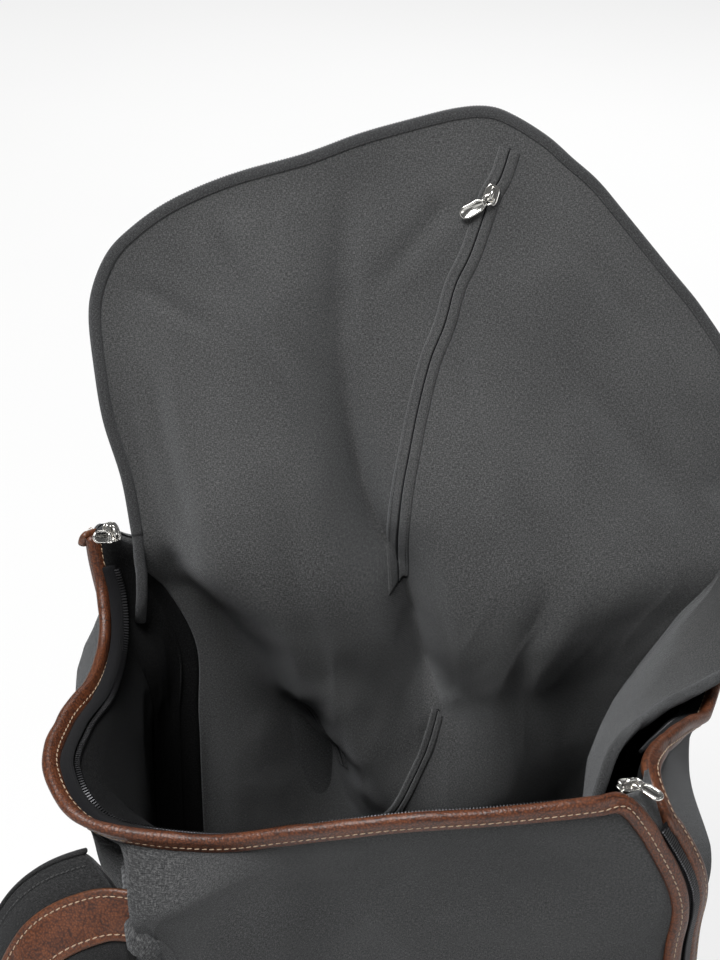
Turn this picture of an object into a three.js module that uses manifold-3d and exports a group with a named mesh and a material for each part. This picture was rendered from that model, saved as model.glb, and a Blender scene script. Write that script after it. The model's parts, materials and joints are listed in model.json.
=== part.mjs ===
// Travel backpack: soft fabric body with an arched zip over the mouth, a fold-back lid,
// leather piping, shoulder straps, lid handle and an outer pocket.
// Millimetres, +Z up. Origin: centre of the base, on the ground plane.
// -Y is the wearer's side, +Y the outer side, -X is left and +X right.
// The lid stands raised, hinged along the top of the +Y wall.
import * as THREE from "three";
import { mergeVertices } from "three/addons/utils/BufferGeometryUtils.js";
import Module from "manifold-3d";

const wasm = await Module();
wasm.setup();

// ---------- driving dimensions ----------
const FABRIC = 2.6; // padded fabric wall
const PIPE_R = 3.3; // leather piping radius
const BASE_Z = 3.4; // top of the base panel
const BODY_Y = 4; // centre of the body's cross-sections

// ---------- vectors and splines ----------
const offset = (point, direction, distance = 1) =>
  point.map((x, i) => x + direction[i] * distance);
const subtract = (a, b) => a.map((x, i) => x - b[i]);
const dot = (a, b) => a[0] * b[0] + a[1] * b[1] + a[2] * b[2];
const cross = (a, b) => [
  a[1] * b[2] - a[2] * b[1],
  a[2] * b[0] - a[0] * b[2],
  a[0] * b[1] - a[1] * b[0],
];
const unit = (a) => {
  const length = Math.hypot(...a);
  return a.map((x) => x / length);
};
const mix = (a, b, t) => a + (b - a) * t;
const mixPoints = (a, b, t) => a.map((x, i) => mix(x, b[i], t));
const clamp01 = (x) => Math.min(Math.max(x, 0), 1);
// count + 1 evenly spaced values, both ends included
const range = (from, to, count) =>
  Array.from({ length: count + 1 }, (_, i) => from + ((to - from) * i) / count);

function catmullRom(a, b, c, d, t) {
  const blend = (p, q, r, s) =>
    0.5 *
    (2 * q + (r - p) * t + (2 * p - 5 * q + 4 * r - s) * t * t + (3 * q - p - 3 * r + s) * t ** 3);
  return a.map((_, i) => blend(a[i], b[i], c[i], d[i]));
}

// open spline through the points; t is held to 0..1 and spread evenly over the segments
function spline(points, t) {
  const last = points.length - 1;
  const place = clamp01(t) * last;
  const i = Math.min(Math.floor(place), last - 1);
  const get = (k) => {
    if (k < 0) return offset(points[0], subtract(points[0], points[1]));
    if (k > last) return offset(points[last], subtract(points[last], points[last - 1]));
    return points[k];
  };
  return catmullRom(get(i - 1), get(i), get(i + 1), get(i + 2), place - i);
}

// ---------- geometry builders ----------
// indexed geometry with its faces turned outwards
function closedGeometry(positions, index) {
  const corner = (i) => positions.slice(index[i] * 3, index[i] * 3 + 3);
  let volume = 0;
  for (let i = 0; i < index.length; i += 3) {
    volume += dot(corner(i), cross(corner(i + 1), corner(i + 2)));
  }
  if (volume < 0) {
    for (let i = 0; i < index.length; i += 3) {
      [index[i + 1], index[i + 2]] = [index[i + 2], index[i + 1]];
    }
  }
  return new THREE.BufferGeometry()
    .setAttribute("position", new THREE.Float32BufferAttribute(positions, 3))
    .setIndex(index);
}

// closed slab between the point grids first(s, t) and second(s, t), s and t in 0..1
function slab(first, second, countS, countT) {
  const positions = [];
  const index = [];
  const row = countT + 1;
  const far = (countS + 1) * row; // index of the second grid's first point
  for (const pointAt of [first, second]) {
    for (let i = 0; i <= countS; i++) {
      for (let j = 0; j <= countT; j++) positions.push(...pointAt(i / countS, j / countT));
    }
  }
  const quad = (a, b, c, d) => index.push(a, b, c, a, c, d);
  for (let i = 0; i < countS; i++) {
    for (let j = 0; j < countT; j++) {
      const a = i * row + j;
      quad(a, a + row, a + row + 1, a + 1);
      quad(far + a, far + a + 1, far + a + row + 1, far + a + row);
    }
  }
  for (let i = 0; i < countS; i++) {
    const a = i * row;
    const b = a + countT;
    quad(a, far + a, far + a + row, a + row);
    quad(b, b + row, far + b + row, far + b);
  }
  for (let j = 0; j < countT; j++) {
    const b = countS * row + j;
    quad(j, j + 1, far + j + 1, far + j);
    quad(b, far + b, far + b + 1, b + 1);
  }
  return closedGeometry(positions, index);
}

// slab between two heights: pointAt(t, aside, height), t in 0..1 along, aside running over span
function sheet(pointAt, span, heights, steps, stepsAcross = 1) {
  const face = (height) => (s, t) => pointAt(t, mix(span[0], span[1], s), height);
  return slab(face(heights[0]), face(heights[1]), stepsAcross, steps);
}

const ellipse = (radiusX, radiusY, angles) =>
  angles.map((angle) => [radiusX * Math.cos(angle), radiusY * Math.sin(angle)]);
const vectors2 = (points) => points.map((p) => new THREE.Vector2(...p));

function tube(points, radius, steps, sides = 6) {
  const circle = ellipse(radius, radius, range(0, 2 * Math.PI, sides));
  const centres = points.map((p) => new THREE.Vector3(...p));
  const extrudePath = new THREE.CatmullRomCurve3(centres, false, "centripetal");
  const settings = { steps, extrudePath, bevelEnabled: false };
  return new THREE.ExtrudeGeometry(new THREE.Shape(vectors2(circle)), settings);
}

// flat plate standing on z = 0, its edges bevelled inside the outline
function plate(outline, thickness, bevel = 0, hole = null) {
  const shape = new THREE.Shape(vectors2(outline));
  if (hole) shape.holes.push(new THREE.Path(vectors2(hole)));
  return new THREE.ExtrudeGeometry(shape, {
    depth: thickness - 2 * bevel,
    bevelEnabled: bevel > 0,
    bevelThickness: bevel,
    bevelSize: bevel,
    bevelOffset: -bevel,
    bevelSegments: 1,
    steps: 1,
  }).translate(0, 0, bevel);
}

function toManifold(source) {
  source.deleteAttribute("normal");
  source.deleteAttribute("uv");
  const merged = mergeVertices(source, 1e-4);
  return new wasm.Manifold(
    new wasm.Mesh({
      numProp: 3,
      vertProperties: merged.attributes.position.array,
      triVerts: new Uint32Array(merged.index.array),
    }),
  );
}

function fromManifold(solid) {
  const mesh = solid.getMesh();
  const positions = new THREE.BufferAttribute(new Float32Array(mesh.vertProperties), 3);
  const index = new THREE.BufferAttribute(new Uint32Array(mesh.triVerts), 1);
  return new THREE.BufferGeometry().setAttribute("position", positions).setIndex(index);
}

// placement with local X along xDirection and local Z as near zDirection as that allows
function frame(xDirection, zDirection, origin) {
  const X = new THREE.Vector3(...unit(xDirection));
  const Z = new THREE.Vector3(...zDirection);
  Z.sub(X.clone().multiplyScalar(Z.dot(X))).normalize();
  return new THREE.Matrix4().makeBasis(X, Z.clone().cross(X), Z).setPosition(...origin);
}

// ---------- materials ----------
const material = (settings) => new THREE.MeshStandardMaterial(settings);
const cloth = material({ color: 0x3c3d3f, roughness: 0.95 });
const lining = material({ color: 0x424345, roughness: 0.95 });
const leather = material({ color: 0x7a4025, roughness: 0.6 });
const tape = material({ color: 0x202123, roughness: 0.9 });
const teeth = material({ color: 0x2a2a2b, roughness: 0.4, metalness: 0.8 });
const silver = material({ color: 0xc6c4bf, roughness: 0.3, metalness: 1 });
const foam = material({ color: 0x2b2c2e, roughness: 0.9 });
const webbing = material({ color: 0x26272a, roughness: 0.85 });
const board = material({ color: 0x1d1d1f, roughness: 0.8 });

const bag = new THREE.Group();

function piece(name, geometry, look, parent = bag) {
  const mesh = new THREE.Mesh(geometry, look.clone());
  mesh.name = name;
  parent.add(mesh);
  return mesh;
}

function addGroup(parent) {
  const group = new THREE.Group();
  parent.add(group);
  return group;
}

// ---------- body surface ----------
// 24 columns round the body, anticlockwise from above: 0-4 wearer's side, 5-6 corner,
// 7-9 right side, 10-11 corner, 12-16 outer side, 17-18 corner, 19-21 left side, 22-23 corner.
// Column numbers may be fractional and wrap round.
const COLUMNS = 24;

// rounded rectangle at height z, one point per column
function levelLoop([centreX, halfX, halfY, radius, z]) {
  const flatX = halfX - radius;
  const flatY = halfY - radius;
  const points = [];
  const add = (x, y) => points.push([centreX + x, BODY_Y + y, z]);
  const corner = (signX, signY, angles) => {
    for (const degrees of angles) {
      const angle = (degrees * Math.PI) / 180;
      add(signX * flatX + radius * Math.cos(angle), signY * flatY + radius * Math.sin(angle));
    }
  };
  for (const x of range(-flatX, flatX, 4)) add(x, -halfY);
  corner(1, -1, [-60, -30]);
  for (const y of range(-flatY, flatY, 2)) add(halfX, y);
  corner(1, 1, [30, 60]);
  for (const x of range(flatX, -flatX, 4)) add(x, halfY);
  corner(-1, 1, [120, 150]);
  for (const y of range(flatY, -flatY, 2)) add(-halfX, y);
  corner(-1, -1, [210, 240]);
  return points;
}

// rim of the mouth, x y z for each column
const RIM = [
  [-101, -97, 380], [-50, -106, 394], [0, -110, 405], [45, -109, 408], [88, -104, 409],
  [112, -97, 407], [127, -82, 403],
  [137, -46, 395], [157, -8, 382], [174, 28, 366],
  [190, 72, 374], [197, 103, 404],
  [186, 116, 424], [98, 119, 422.5], [10, 120, 422.5], [-80, 119, 422.5], [-152, 117, 424],
  [-171, 110, 436], [-169, 96, 404],
  [-168, 70, 383], [-171, 32, 380], [-180, -4, 383],
  [-181, -46, 386], [-157, -80, 378],
];
// levels from the base up: centre x, half width x, half depth y, corner radius, z
const LEVELS = [
  ...[
    [0, 146, 94, 34, BASE_Z],
    [0, 154, 101, 36, 20],
    [0, 160, 107, 38, 110],
    [0, 161, 108, 38, 215],
    [1, 159, 107, 36, 305],
    [1, 158, 106, 34, 350],
  ].map(levelLoop),
  RIM,
];

// level shifts: column, dx, dy, dz
// the wall under the sagging left corner of the mouth is drawn in, on two levels
const DRAWN_IN = [
  [20, 6, 0, 0], [21, 16, -2, 0], [22, 26, 12, 0], [23, 22, 20, 0], [0, 6, 12, 0], [1, 0, 3, 0],
];
// the right and outer sides flare out, and the level follows the rim up and down
const FLARE = [
  [8, 0, 0, -18], [9, 6, 0, -22], [10, 16, 0, -14], [11, 20, 4, 0], [12, 14, 6, 8],
  [13, 0, 6, 12], [14, 0, 6, 12], [15, 0, 6, 12], [16, 0, 6, 12], [17, 0, 4, 8],
  [19, -2, 0, -8], [20, -2, 0, -10], [21, 0, 0, -6], [23, 0, 0, -12], [22, 0, 0, -8],
];
function shiftLevel(level, shifts, share = 1) {
  for (const [column, ...move] of shifts) {
    LEVELS[level][column] = offset(LEVELS[level][column], move, share);
  }
}
shiftLevel(5, DRAWN_IN);
shiftLevel(4, DRAWN_IN, 0.7);
shiftLevel(5, FLARE);

function levelPoint(level, column) {
  const place = ((column % COLUMNS) + COLUMNS) % COLUMNS;
  const i = Math.floor(place);
  const get = (k) => level[(k + COLUMNS) % COLUMNS];
  return catmullRom(get(i - 1), get(i), get(i + 1), get(i + 2), place - i);
}

// outer surface of the walls; rise is 0 at the base and 1 at the rim
const bodyPoint = (column, rise) => spline(LEVELS.map((level) => levelPoint(level, column)), rise);

function bodyNormal(column, rise) {
  const step = 0.02;
  const round = subtract(bodyPoint(column + step, rise), bodyPoint(column - step, rise));
  const up = subtract(bodyPoint(column, rise + step), bodyPoint(column, rise - step));
  return unit(cross(round, up));
}

// point at a height off the outer surface, negative inside
const offBody = (column, rise, height) =>
  offset(bodyPoint(column, rise), bodyNormal(column, rise), height);

// sheet following the body over a span of columns and of rises
const bodySheet = (columns, rises, heights, stepsUp, stepsRound, spacing = (t) => t) =>
  sheet(
    (t, column, height) => offBody(column, mix(rises[0], rises[1], spacing(t)), height),
    columns, heights, stepsUp, stepsRound,
  );

// ---------- body walls ----------
// rows are closer together near the flared mouth
const rowSpacing = (t) => (t < 0.5 ? (t * 4) / 3 : 2 / 3 + ((t - 0.5) * 2) / 3);

// name, columns, steps round
const WALLS = [
  ["back_panel", [-1.5, 5.62], 18],
  ["right_gusset", [5.68, 11.0], 15],
  ["front_panel", [11.06, 17.3], 14],
  ["left_gusset", [17.36, 22.44], 15],
];
for (const [name, columns, steps] of WALLS) {
  piece(name, bodySheet(columns, [0, 1], [0, -FABRIC], 10, steps, rowSpacing), cloth);
}

// foam inside the wearer's side wall
const FOAM_HEIGHTS = [-FABRIC - 1.6, -FABRIC - 5.6];
piece("back_foam", bodySheet([0.3, 4.1], [0.1, 0.72], FOAM_HEIGHTS, 5, 9, rowSpacing), foam);

// outline of the body's foot, set in by inset
const footOutline = (inset) =>
  range(0, COLUMNS, 36)
    .slice(0, -1)
    .map((column) => offset(bodyPoint(column, 0), bodyNormal(column, 0.02), -inset).slice(0, 2));
const BASE_CLEARANCE = 0.4; // round the base panel, and under it
const BOARD_GAP = 0.6;
piece("base_panel", plate(footOutline(BASE_CLEARANCE), BASE_Z - BASE_CLEARANCE), cloth);
piece("base_board", plate(footOutline(11), 2.6).translate(0, 0, BASE_Z + BOARD_GAP), board);

// ---------- lining: one open-topped skin inside the walls ----------
const LINING = { thickness: 1, floorZ: BASE_Z + 4.4, rises: [0.075, 0.93], around: 32, rows: 6 };

// the lining stands further in over the foam and at the drawn-in left corner
function liningHeight(column) {
  const fromBack = Math.min(Math.abs(column - 2), COLUMNS - Math.abs(column - 2));
  const overFoam = 4.4 * clamp01((5.2 - fromBack) / 1.6);
  const atLeftCorner = 5 * Math.max(0, 1 - Math.abs(column - 22) / 1.5);
  return -FABRIC - 6 - overFoam - atLeftCorner;
}

function liningGeometry() {
  const { thickness, floorZ, rises, around, rows } = LINING;
  const positions = [];
  const index = [];
  for (const depth of [0, thickness]) {
    for (let j = 0; j <= rows; j++) {
      const rise = mix(rises[0], rises[1], rowSpacing(j / rows));
      for (let i = 0; i < around; i++) {
        const column = (i * COLUMNS) / around;
        const point = offBody(column, rise, liningHeight(column) - depth);
        if (j === 0) point[2] = floorZ + depth;
        positions.push(...point);
      }
    }
  }
  const inner = (rows + 1) * around; // index of the inner skin's first point
  const quad = (a, b, c, d) => index.push(a, b, c, a, c, d);
  for (let j = 0; j < rows; j++) {
    for (let i = 0; i < around; i++) {
      const a = j * around + i;
      const b = j * around + ((i + 1) % around);
      quad(a, b, b + around, a + around);
      quad(inner + a, inner + a + around, inner + b + around, inner + b);
    }
  }
  // floor fans round two centre points, and the top edge
  const centre = positions.length / 3;
  positions.push(0, BODY_Y, floorZ, 0, BODY_Y, floorZ + thickness);
  for (let i = 0; i < around; i++) {
    const next = (i + 1) % around;
    const a = rows * around + i;
    const b = rows * around + next;
    quad(a, b, inner + b, inner + a);
    index.push(centre, next, i, centre + 1, inner + i, inner + next);
  }
  return closedGeometry(positions, index);
}
piece("main_lining", liningGeometry(), lining);

// ---------- mouth: piping, tape, teeth ----------
// direction square to the rim line, away from the wall's top edge
const rimUp = (column) =>
  unit(
    cross(bodyNormal(column, 1), subtract(bodyPoint(column + 0.15, 1), bodyPoint(column - 0.15, 1))),
  );
// point above the rim, by default over the middle of the wall's thickness
const rimPoint = (column, up, out = -0.5 * FABRIC) =>
  offset(offset(bodyPoint(column, 1), rimUp(column), up), bodyNormal(column, 1), out);

const PIPE_UP = PIPE_R + 2.1; // piping centre above the rim
// the zip's two closed runs lie on the outside of the walls, down from the rim
const RUN_RIGHT = 5.65; // column
const RUN_LEFT = 17.15; // column
const RUN_END = 0.52; // rise of their lower ends
const RUN_PIPE_ASIDE = 9;
const RUN_PIPE_HEIGHT = PIPE_R + 0.9;

// aside is in millimetres across the run, height off the wall
function runPoint(column, aside, height, rise) {
  const columnWidth = Math.hypot(
    ...subtract(bodyPoint(column + 0.5, rise), bodyPoint(column - 0.5, rise)),
  );
  return offBody(column + aside / columnWidth, rise, height);
}
const runPipe = (column, aside, top, count) =>
  range(top, RUN_END, count).map((rise) => runPoint(column, aside, RUN_PIPE_HEIGHT, rise));

// the near piping lifts a little at its left end
const nearLift = (column) => 1.6 * Math.max(0, 1 - Math.abs(column - 18.4) / 0.8);
const NEAR_PIPE = [
  ...range(17.35, 28.5, 28).map((column) => rimPoint(column, PIPE_UP + nearLift(column))),
  rimPoint(28.95, 4.2, 3.6),
  ...runPipe(RUN_RIGHT, -RUN_PIPE_ASIDE, 0.955, 7),
];
const RIGHT_PIPE = [
  ...range(11.6, 7.4, 11).map((column) => rimPoint(column, PIPE_UP)),
  rimPoint(6.62, 4, 4),
  ...runPipe(RUN_RIGHT, RUN_PIPE_ASIDE, 0.955, 7),
];
piece("near_rim_piping", tube(NEAR_PIPE, PIPE_R, 84), leather);
piece("right_rim_piping", tube(RIGHT_PIPE, PIPE_R, 44), leather);
for (const [edge, sign] of [["outer", -1], ["side", 1]]) {
  const points = runPipe(RUN_LEFT, sign * RUN_PIPE_ASIDE * 1.06, 0.965, 8);
  piece(`left_run_piping_${edge}`, tube(points, PIPE_R, 12), leather);
}

// open tape slopes down inside the rim, its teeth along the free edge
const TAPE_SLOPE = 0.62; // radians
const TAPE_INSET = FABRIC + 3.2;
const TAPE_UP = 3.2;
function openTapePoint(column, aside, height) {
  const [x, y] = bodyNormal(column, 1);
  const inward = unit([-x, -y, 0]);
  const cos = Math.cos(TAPE_SLOPE);
  const sin = Math.sin(TAPE_SLOPE);
  const across = offset(bodyPoint(column, 1), inward, TAPE_INSET + aside * cos + height * sin);
  return offset(across, rimUp(column), TAPE_UP - aside * sin + height * cos);
}
// side, columns, tape steps, teeth steps
const OPEN_ZIPS = [
  ["near", [18.2, 28.9], 34, 40],
  ["right", [7.2, 11.2], 12, 14],
];
for (const [side, [from, to], tapeSteps, teethSteps] of OPEN_ZIPS) {
  const pointAt = (t, aside, height) => openTapePoint(mix(from, to, t), aside, height);
  piece(`${side}_zip_tape`, sheet(pointAt, [0, 8], [0.9, 0], tapeSteps), tape);
  piece(`${side}_zip_teeth`, sheet(pointAt, [8.4, 11.2], [1.8, -0.9], teethSteps), teeth);
}

const runSheet = (column, width, heights, from, to, steps) =>
  sheet(
    (t, aside, height) => runPoint(column, aside, height, mix(from, to, t)),
    [-width / 2, width / 2], heights, steps, 2,
  );
const RUNS = [["right", RUN_RIGHT], ["left", RUN_LEFT]];
for (const [side, column] of RUNS) {
  piece(`${side}_run_tape`, runSheet(column, 11, [1.8, 1.0], RUN_END, 0.95, 8), tape);
  piece(`${side}_run_teeth`, runSheet(column, 5.4, [4.4, 2.4], RUN_END, 0.93, 9), teeth);
}
// leather tab below each run
const TAB_TOP = RUN_END - 0.012;
for (const [side, column] of RUNS) {
  const tab = runSheet(column, 26, [2.8, 0.5], TAB_TOP, TAB_TOP - 0.05, 3);
  piece(`${side}_zip_tab`, tab, leather);
}

// ---------- lid ----------
const LID_ORIGIN = [10, 118, 428]; // on the fold line, at the lid's own centre line
const LEAN = (19 * Math.PI) / 180; // lid leans back from vertical
const LID_UP = [0, Math.sin(LEAN), Math.cos(LEAN)];
const LID_INWARD = [0, -Math.cos(LEAN), Math.sin(LEAN)];
const lidCurl = (s) => (s < 0 ? 30 * (s / 185) ** 2 : 10 * (s / 190) ** 2);

// s across from the centre line, w up from the fold line, height towards the inside face
function lidPoint(s, w, height) {
  const flat = offset(offset(LID_ORIGIN, [1, 0, 0], s), LID_UP, w);
  return offset(flat, LID_INWARD, height + lidCurl(s));
}

// lid outline, s w; left and right run upwards, top runs left to right
const LID_FOOT = 7; // w of the lower edge
const LID_LEFT = [
  [-159, LID_FOOT], [-164, 41], [-173, 75], [-177, 105], [-179, 134], [-176, 152], [-168, 169],
];
const LID_TOP = [
  [-168, 169], [-156, 181], [-139, 193], [-118, 203], [-95, 211], [-61, 220], [-30, 231],
  [-1, 239], [24, 245], [42, 246], [56, 241], [74, 230], [88, 218], [102, 206], [116, 190],
  [143, 158], [163, 134],
];
const LID_RIGHT = [[182, LID_FOOT], [191, 38], [191, 70], [182, 104], [163, 134]];
const LID_BOTTOM = [LID_LEFT[0], LID_RIGHT[0]];

// Coons patch over the outline, a from left to right, b upwards
function lidOutlinePatch(a, b) {
  const left = spline(LID_LEFT, b);
  const right = spline(LID_RIGHT, b);
  const top = spline(LID_TOP, a);
  const bottom = spline(LID_BOTTOM, a);
  const corners = [LID_LEFT[0], LID_RIGHT[0], LID_LEFT.at(-1), LID_RIGHT.at(-1)];
  return [0, 1].map((k) => {
    const sides = mix(left[k], right[k], a) + mix(bottom[k], top[k], b);
    const [c00, c10, c01, c11] = corners.map((corner) => corner[k]);
    return sides - mix(mix(c00, c10, a), mix(c01, c11, a), b);
  });
}

const LID_INSET = 5; // of the panel and lining from the outline
const LID_MIDDLE_S = 10; // they shrink towards this s
function lidSheet(heights) {
  const pointAt = (b, a, height) => {
    const [s, w] = lidOutlinePatch(a, b);
    return lidPoint(
      LID_MIDDLE_S + (s - LID_MIDDLE_S) * (1 - LID_INSET / 170),
      LID_FOOT + LID_INSET * 0.2 + (w - LID_FOOT) * (1 - LID_INSET / 240),
      height,
    );
  };
  return sheet(pointAt, [0, 1], heights, 8, 16);
}

const lid = addGroup(bag);
piece("lid_panel", lidSheet([0, -2.4]), cloth, lid);
piece("lid_lining", lidSheet([3.0, 1.8]), lining, lid);
const pocketBagPoint = (t, s, height) => lidPoint(s, 30 + 150 * t, height);
piece("lid_pocket_bag", sheet(pocketBagPoint, [-95, 55], [1.4, 0.5], 4, 6), lining, lid);

// point beside a line drawn on the lid; aside is to the left of its direction
function besideLidLine(line, step, t, aside, height) {
  const [s, w] = spline(line, t);
  const [ds, dw] = unit(subtract(spline(line, t + step), spline(line, t - step)));
  return lidPoint(s - dw * aside, w + ds * aside, height);
}

// free edge: left side up, over the top, right side down; aside is outwards
const LID_EDGE = [...LID_LEFT.slice(0, -1), ...LID_TOP, ...LID_RIGHT.slice(0, -1).reverse()];
const edgePoint = (t, out, height) => besideLidLine(LID_EDGE, 0.004, t, out, height);
const edgeTube = (out, height, radius) =>
  tube(range(0, 1, 52).map((t) => edgePoint(t, out, height)), radius, 48);
piece("lid_edge_binding", edgeTube(0.6, 0.6, 3.2), cloth, lid);
piece("lid_zip_tape", sheet(edgePoint, [-13, -1], [-3.1, -4.1], 36), tape, lid);
piece("lid_zip_teeth", sheet(edgePoint, [0, 2.6], [-3.0, -5.6], 40), teeth, lid);
piece("lid_piping", edgeTube(-10, -4.5 - PIPE_R, PIPE_R), leather, lid);

// lid pocket zip line from its upper end down, s w
const POCKET_LINE = [
  [54, 222], [49, 210], [43, 199], [38, 183], [32, 166], [24, 149], [18, 127], [10, 107],
  [3, 80], [-2, 56], [-6, 34],
];
const pocketLinePoint = (t, aside, height) => besideLidLine(POCKET_LINE, 0.01, t, aside, height);
piece("lid_pocket_zip_tape", sheet(pocketLinePoint, [-10, 10], [4.1, 3.3], 16), tape, lid);

// ---------- zip hardware ----------
// slider in its own frame: X along the zip, Y across, Z away from the cloth
const SLIDER_OUTLINE = [
  [-6, -2.6], [-3, -4.2], [3.5, -4.6], [6, -3.4], [4.2, 0], [6, 3.4], [3.5, 4.6], [-3, 4.2],
  [-6, 2.6],
];
const POST_OUTLINE = [[0.6, 0], [3.6, -1.1], [4.2, 0], [3.6, 1.1]];

function sliderGeometry() {
  const halfTurn = range(0, Math.PI, 6);
  const arch = [...ellipse(3.3, 5.0, halfTurn), ...ellipse(2.1, 3.9, halfTurn).reverse()];
  const parts = [
    plate(SLIDER_OUTLINE, 1.1, 0.25), // lower plate
    plate(SLIDER_OUTLINE, 1.3, 0.4).translate(0, 0, 3.4), // upper plate
    plate(POST_OUTLINE, 2.9).translate(0, 0, 0.9), // post between the plates
    plate(arch, 1.8, 0.25).rotateX(Math.PI / 2).translate(0, 0.9, 4.4), // bridge
  ];
  return fromManifold(parts.map(toManifold).reduce((a, b) => a.add(b)));
}

// pull tab reaching along +X from the eye at its origin
function pullGeometry(length) {
  const width = 7.2;
  const thickness = 1.4;
  // one long edge, from the eye to the tip
  const half = [
    [-3.3, 1.9], [-1.9, 3.3], [2.0, 3.3], [4.6, width * 0.32], [length * 0.6, width / 2],
    [length - 2.2, width / 2], [length - 0.6, width * 0.3],
  ];
  const mirrored = half.map(([x, y]) => [x, -y]);
  const outline = [...mirrored, [length, 0], ...half.reverse()];
  const eye = ellipse(2.15, 2.15, range(0, 2 * Math.PI, 8).slice(0, -1)).reverse();
  return plate(outline, thickness, 0.35, eye).translate(0, 0, -thickness / 2);
}

// leg is the side of the bridge that the tab's eye hangs on,
// turn its heading and tilt its droop, in radians
function hardware(prefix, { at, along, up, leg, turn, tilt, pullLength, parent = bag }) {
  const group = addGroup(parent);
  group.applyMatrix4(frame(along, up, at));
  piece(`${prefix}_slider`, sliderGeometry(), silver, group);
  const pull = piece(`${prefix}_pull`, pullGeometry(pullLength), silver, group);
  pull.applyMatrix4(
    new THREE.Matrix4()
      .makeTranslation(leg * 2.5, 0, 6)
      .multiply(new THREE.Matrix4().makeRotationZ(turn))
      .multiply(new THREE.Matrix4().makeRotationY(tilt)),
  );
}

// at the top of the zip's left end
hardware("left", {
  at: [-163.5, 95, 446],
  along: [0.25, -0.35, -0.9],
  up: [0.55, -0.72, 0.42],
  leg: 1,
  turn: -1.9,
  tilt: -0.1,
  pullLength: 15,
});
// at the wearer's-side right corner of the mouth
hardware("right", {
  at: [116, -83, 407],
  along: [-0.93, -0.32, 0.1],
  up: [0.05, -0.15, 0.98],
  leg: -1,
  turn: Math.PI * 0.66,
  tilt: -0.1,
  pullLength: 17,
});
const pocketSliderAt = pocketLinePoint(0.19, 0, 4.5);
hardware("lid_pocket", {
  at: pocketSliderAt,
  along: subtract(pocketLinePoint(0.7, 0, 4.5), pocketSliderAt),
  up: LID_INWARD,
  leg: 1,
  turn: -0.7,
  tilt: 0.05,
  pullLength: 19,
  parent: lid,
});

// ---------- lid handle, on the lid's outer face ----------
const HANDLE = { halfSpan: 52, endW: 118, sag: 36, height: -11.4, standOff: 7, radius: 5 };
const handlePoints = range(0, 1, 24).map((t) => {
  const bow = Math.sin(Math.PI * t);
  return lidPoint(
    mix(-HANDLE.halfSpan, HANDLE.halfSpan, t),
    HANDLE.endW - HANDLE.sag * bow ** 0.7,
    HANDLE.height - HANDLE.standOff * bow,
  );
});
piece("lid_handle", tube(handlePoints, HANDLE.radius, 22, 7), leather, lid);

// leather patch between the lid and each end of the handle
for (const [side, sign] of [["left", -1], ["right", 1]]) {
  const face = (heightAt) => (a, b) =>
    lidPoint(sign * (HANDLE.halfSpan + 4) + (a - 0.5) * 26, 104 + 44 * b, heightAt(a));
  const inner = face(() => -2.8);
  const outer = face((a) => -4.6 - 0.6 * Math.sin(Math.PI * a));
  piece(`handle_patch_${side}`, slab(inner, outer, 3, 3), leather, lid);
}

// ---------- outer pocket ----------
const POCKET_COLUMNS = [12.1, 15.9];
const POCKET_RISES = [0.1, 0.6];
const POCKET_ZIP_RISE = 0.545;
// height off the wall, a and b in 0..1 across and up the pocket
const pocketBulge = (a, b) => 4 + 20 * (1 - (2 * a - 1) ** 4) * (1 - (2 * b - 1) ** 4);
const pocketFace = (heightAt) => (a, b) =>
  offBody(mix(...POCKET_COLUMNS, a), mix(...POCKET_RISES, b), heightAt(a, b));
piece("outer_pocket", slab(pocketFace(pocketBulge), pocketFace(() => 1.2), 10, 8), cloth);

// the zip crosses the pocket near its top; aside is in millimetres upwards, roughly
const pocketZipPoint = (t, aside, height) =>
  offBody(
    mix(POCKET_COLUMNS[0] + 0.25, POCKET_COLUMNS[1] - 0.25, t),
    POCKET_ZIP_RISE + aside / 430,
    pocketBulge(0.06 + 0.88 * t, 0.89) + height,
  );
piece("outer_pocket_zip_tape", sheet(pocketZipPoint, [-8, 8], [4.2, 3.2], 14), tape);
piece("outer_pocket_zip_teeth", sheet(pocketZipPoint, [-2.4, 2.4], [6.6, 4.7], 16), teeth);
hardware("outer_pocket", {
  at: pocketZipPoint(0.06, 0, 7.1),
  along: subtract(pocketZipPoint(0.2, 0, 7.1), pocketZipPoint(0.04, 0, 7.1)),
  up: bodyNormal(POCKET_COLUMNS[0] + 0.3, POCKET_ZIP_RISE),
  leg: -1,
  turn: Math.PI * 0.96,
  tilt: 0.1,
  pullLength: 19,
});

// ---------- shoulder straps ----------
const PAD_WIDTH = 66;
const PAD_THICKNESS = 11;
const WEB_WIDTH = 25;
const WEB_THICKNESS = 2;

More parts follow.
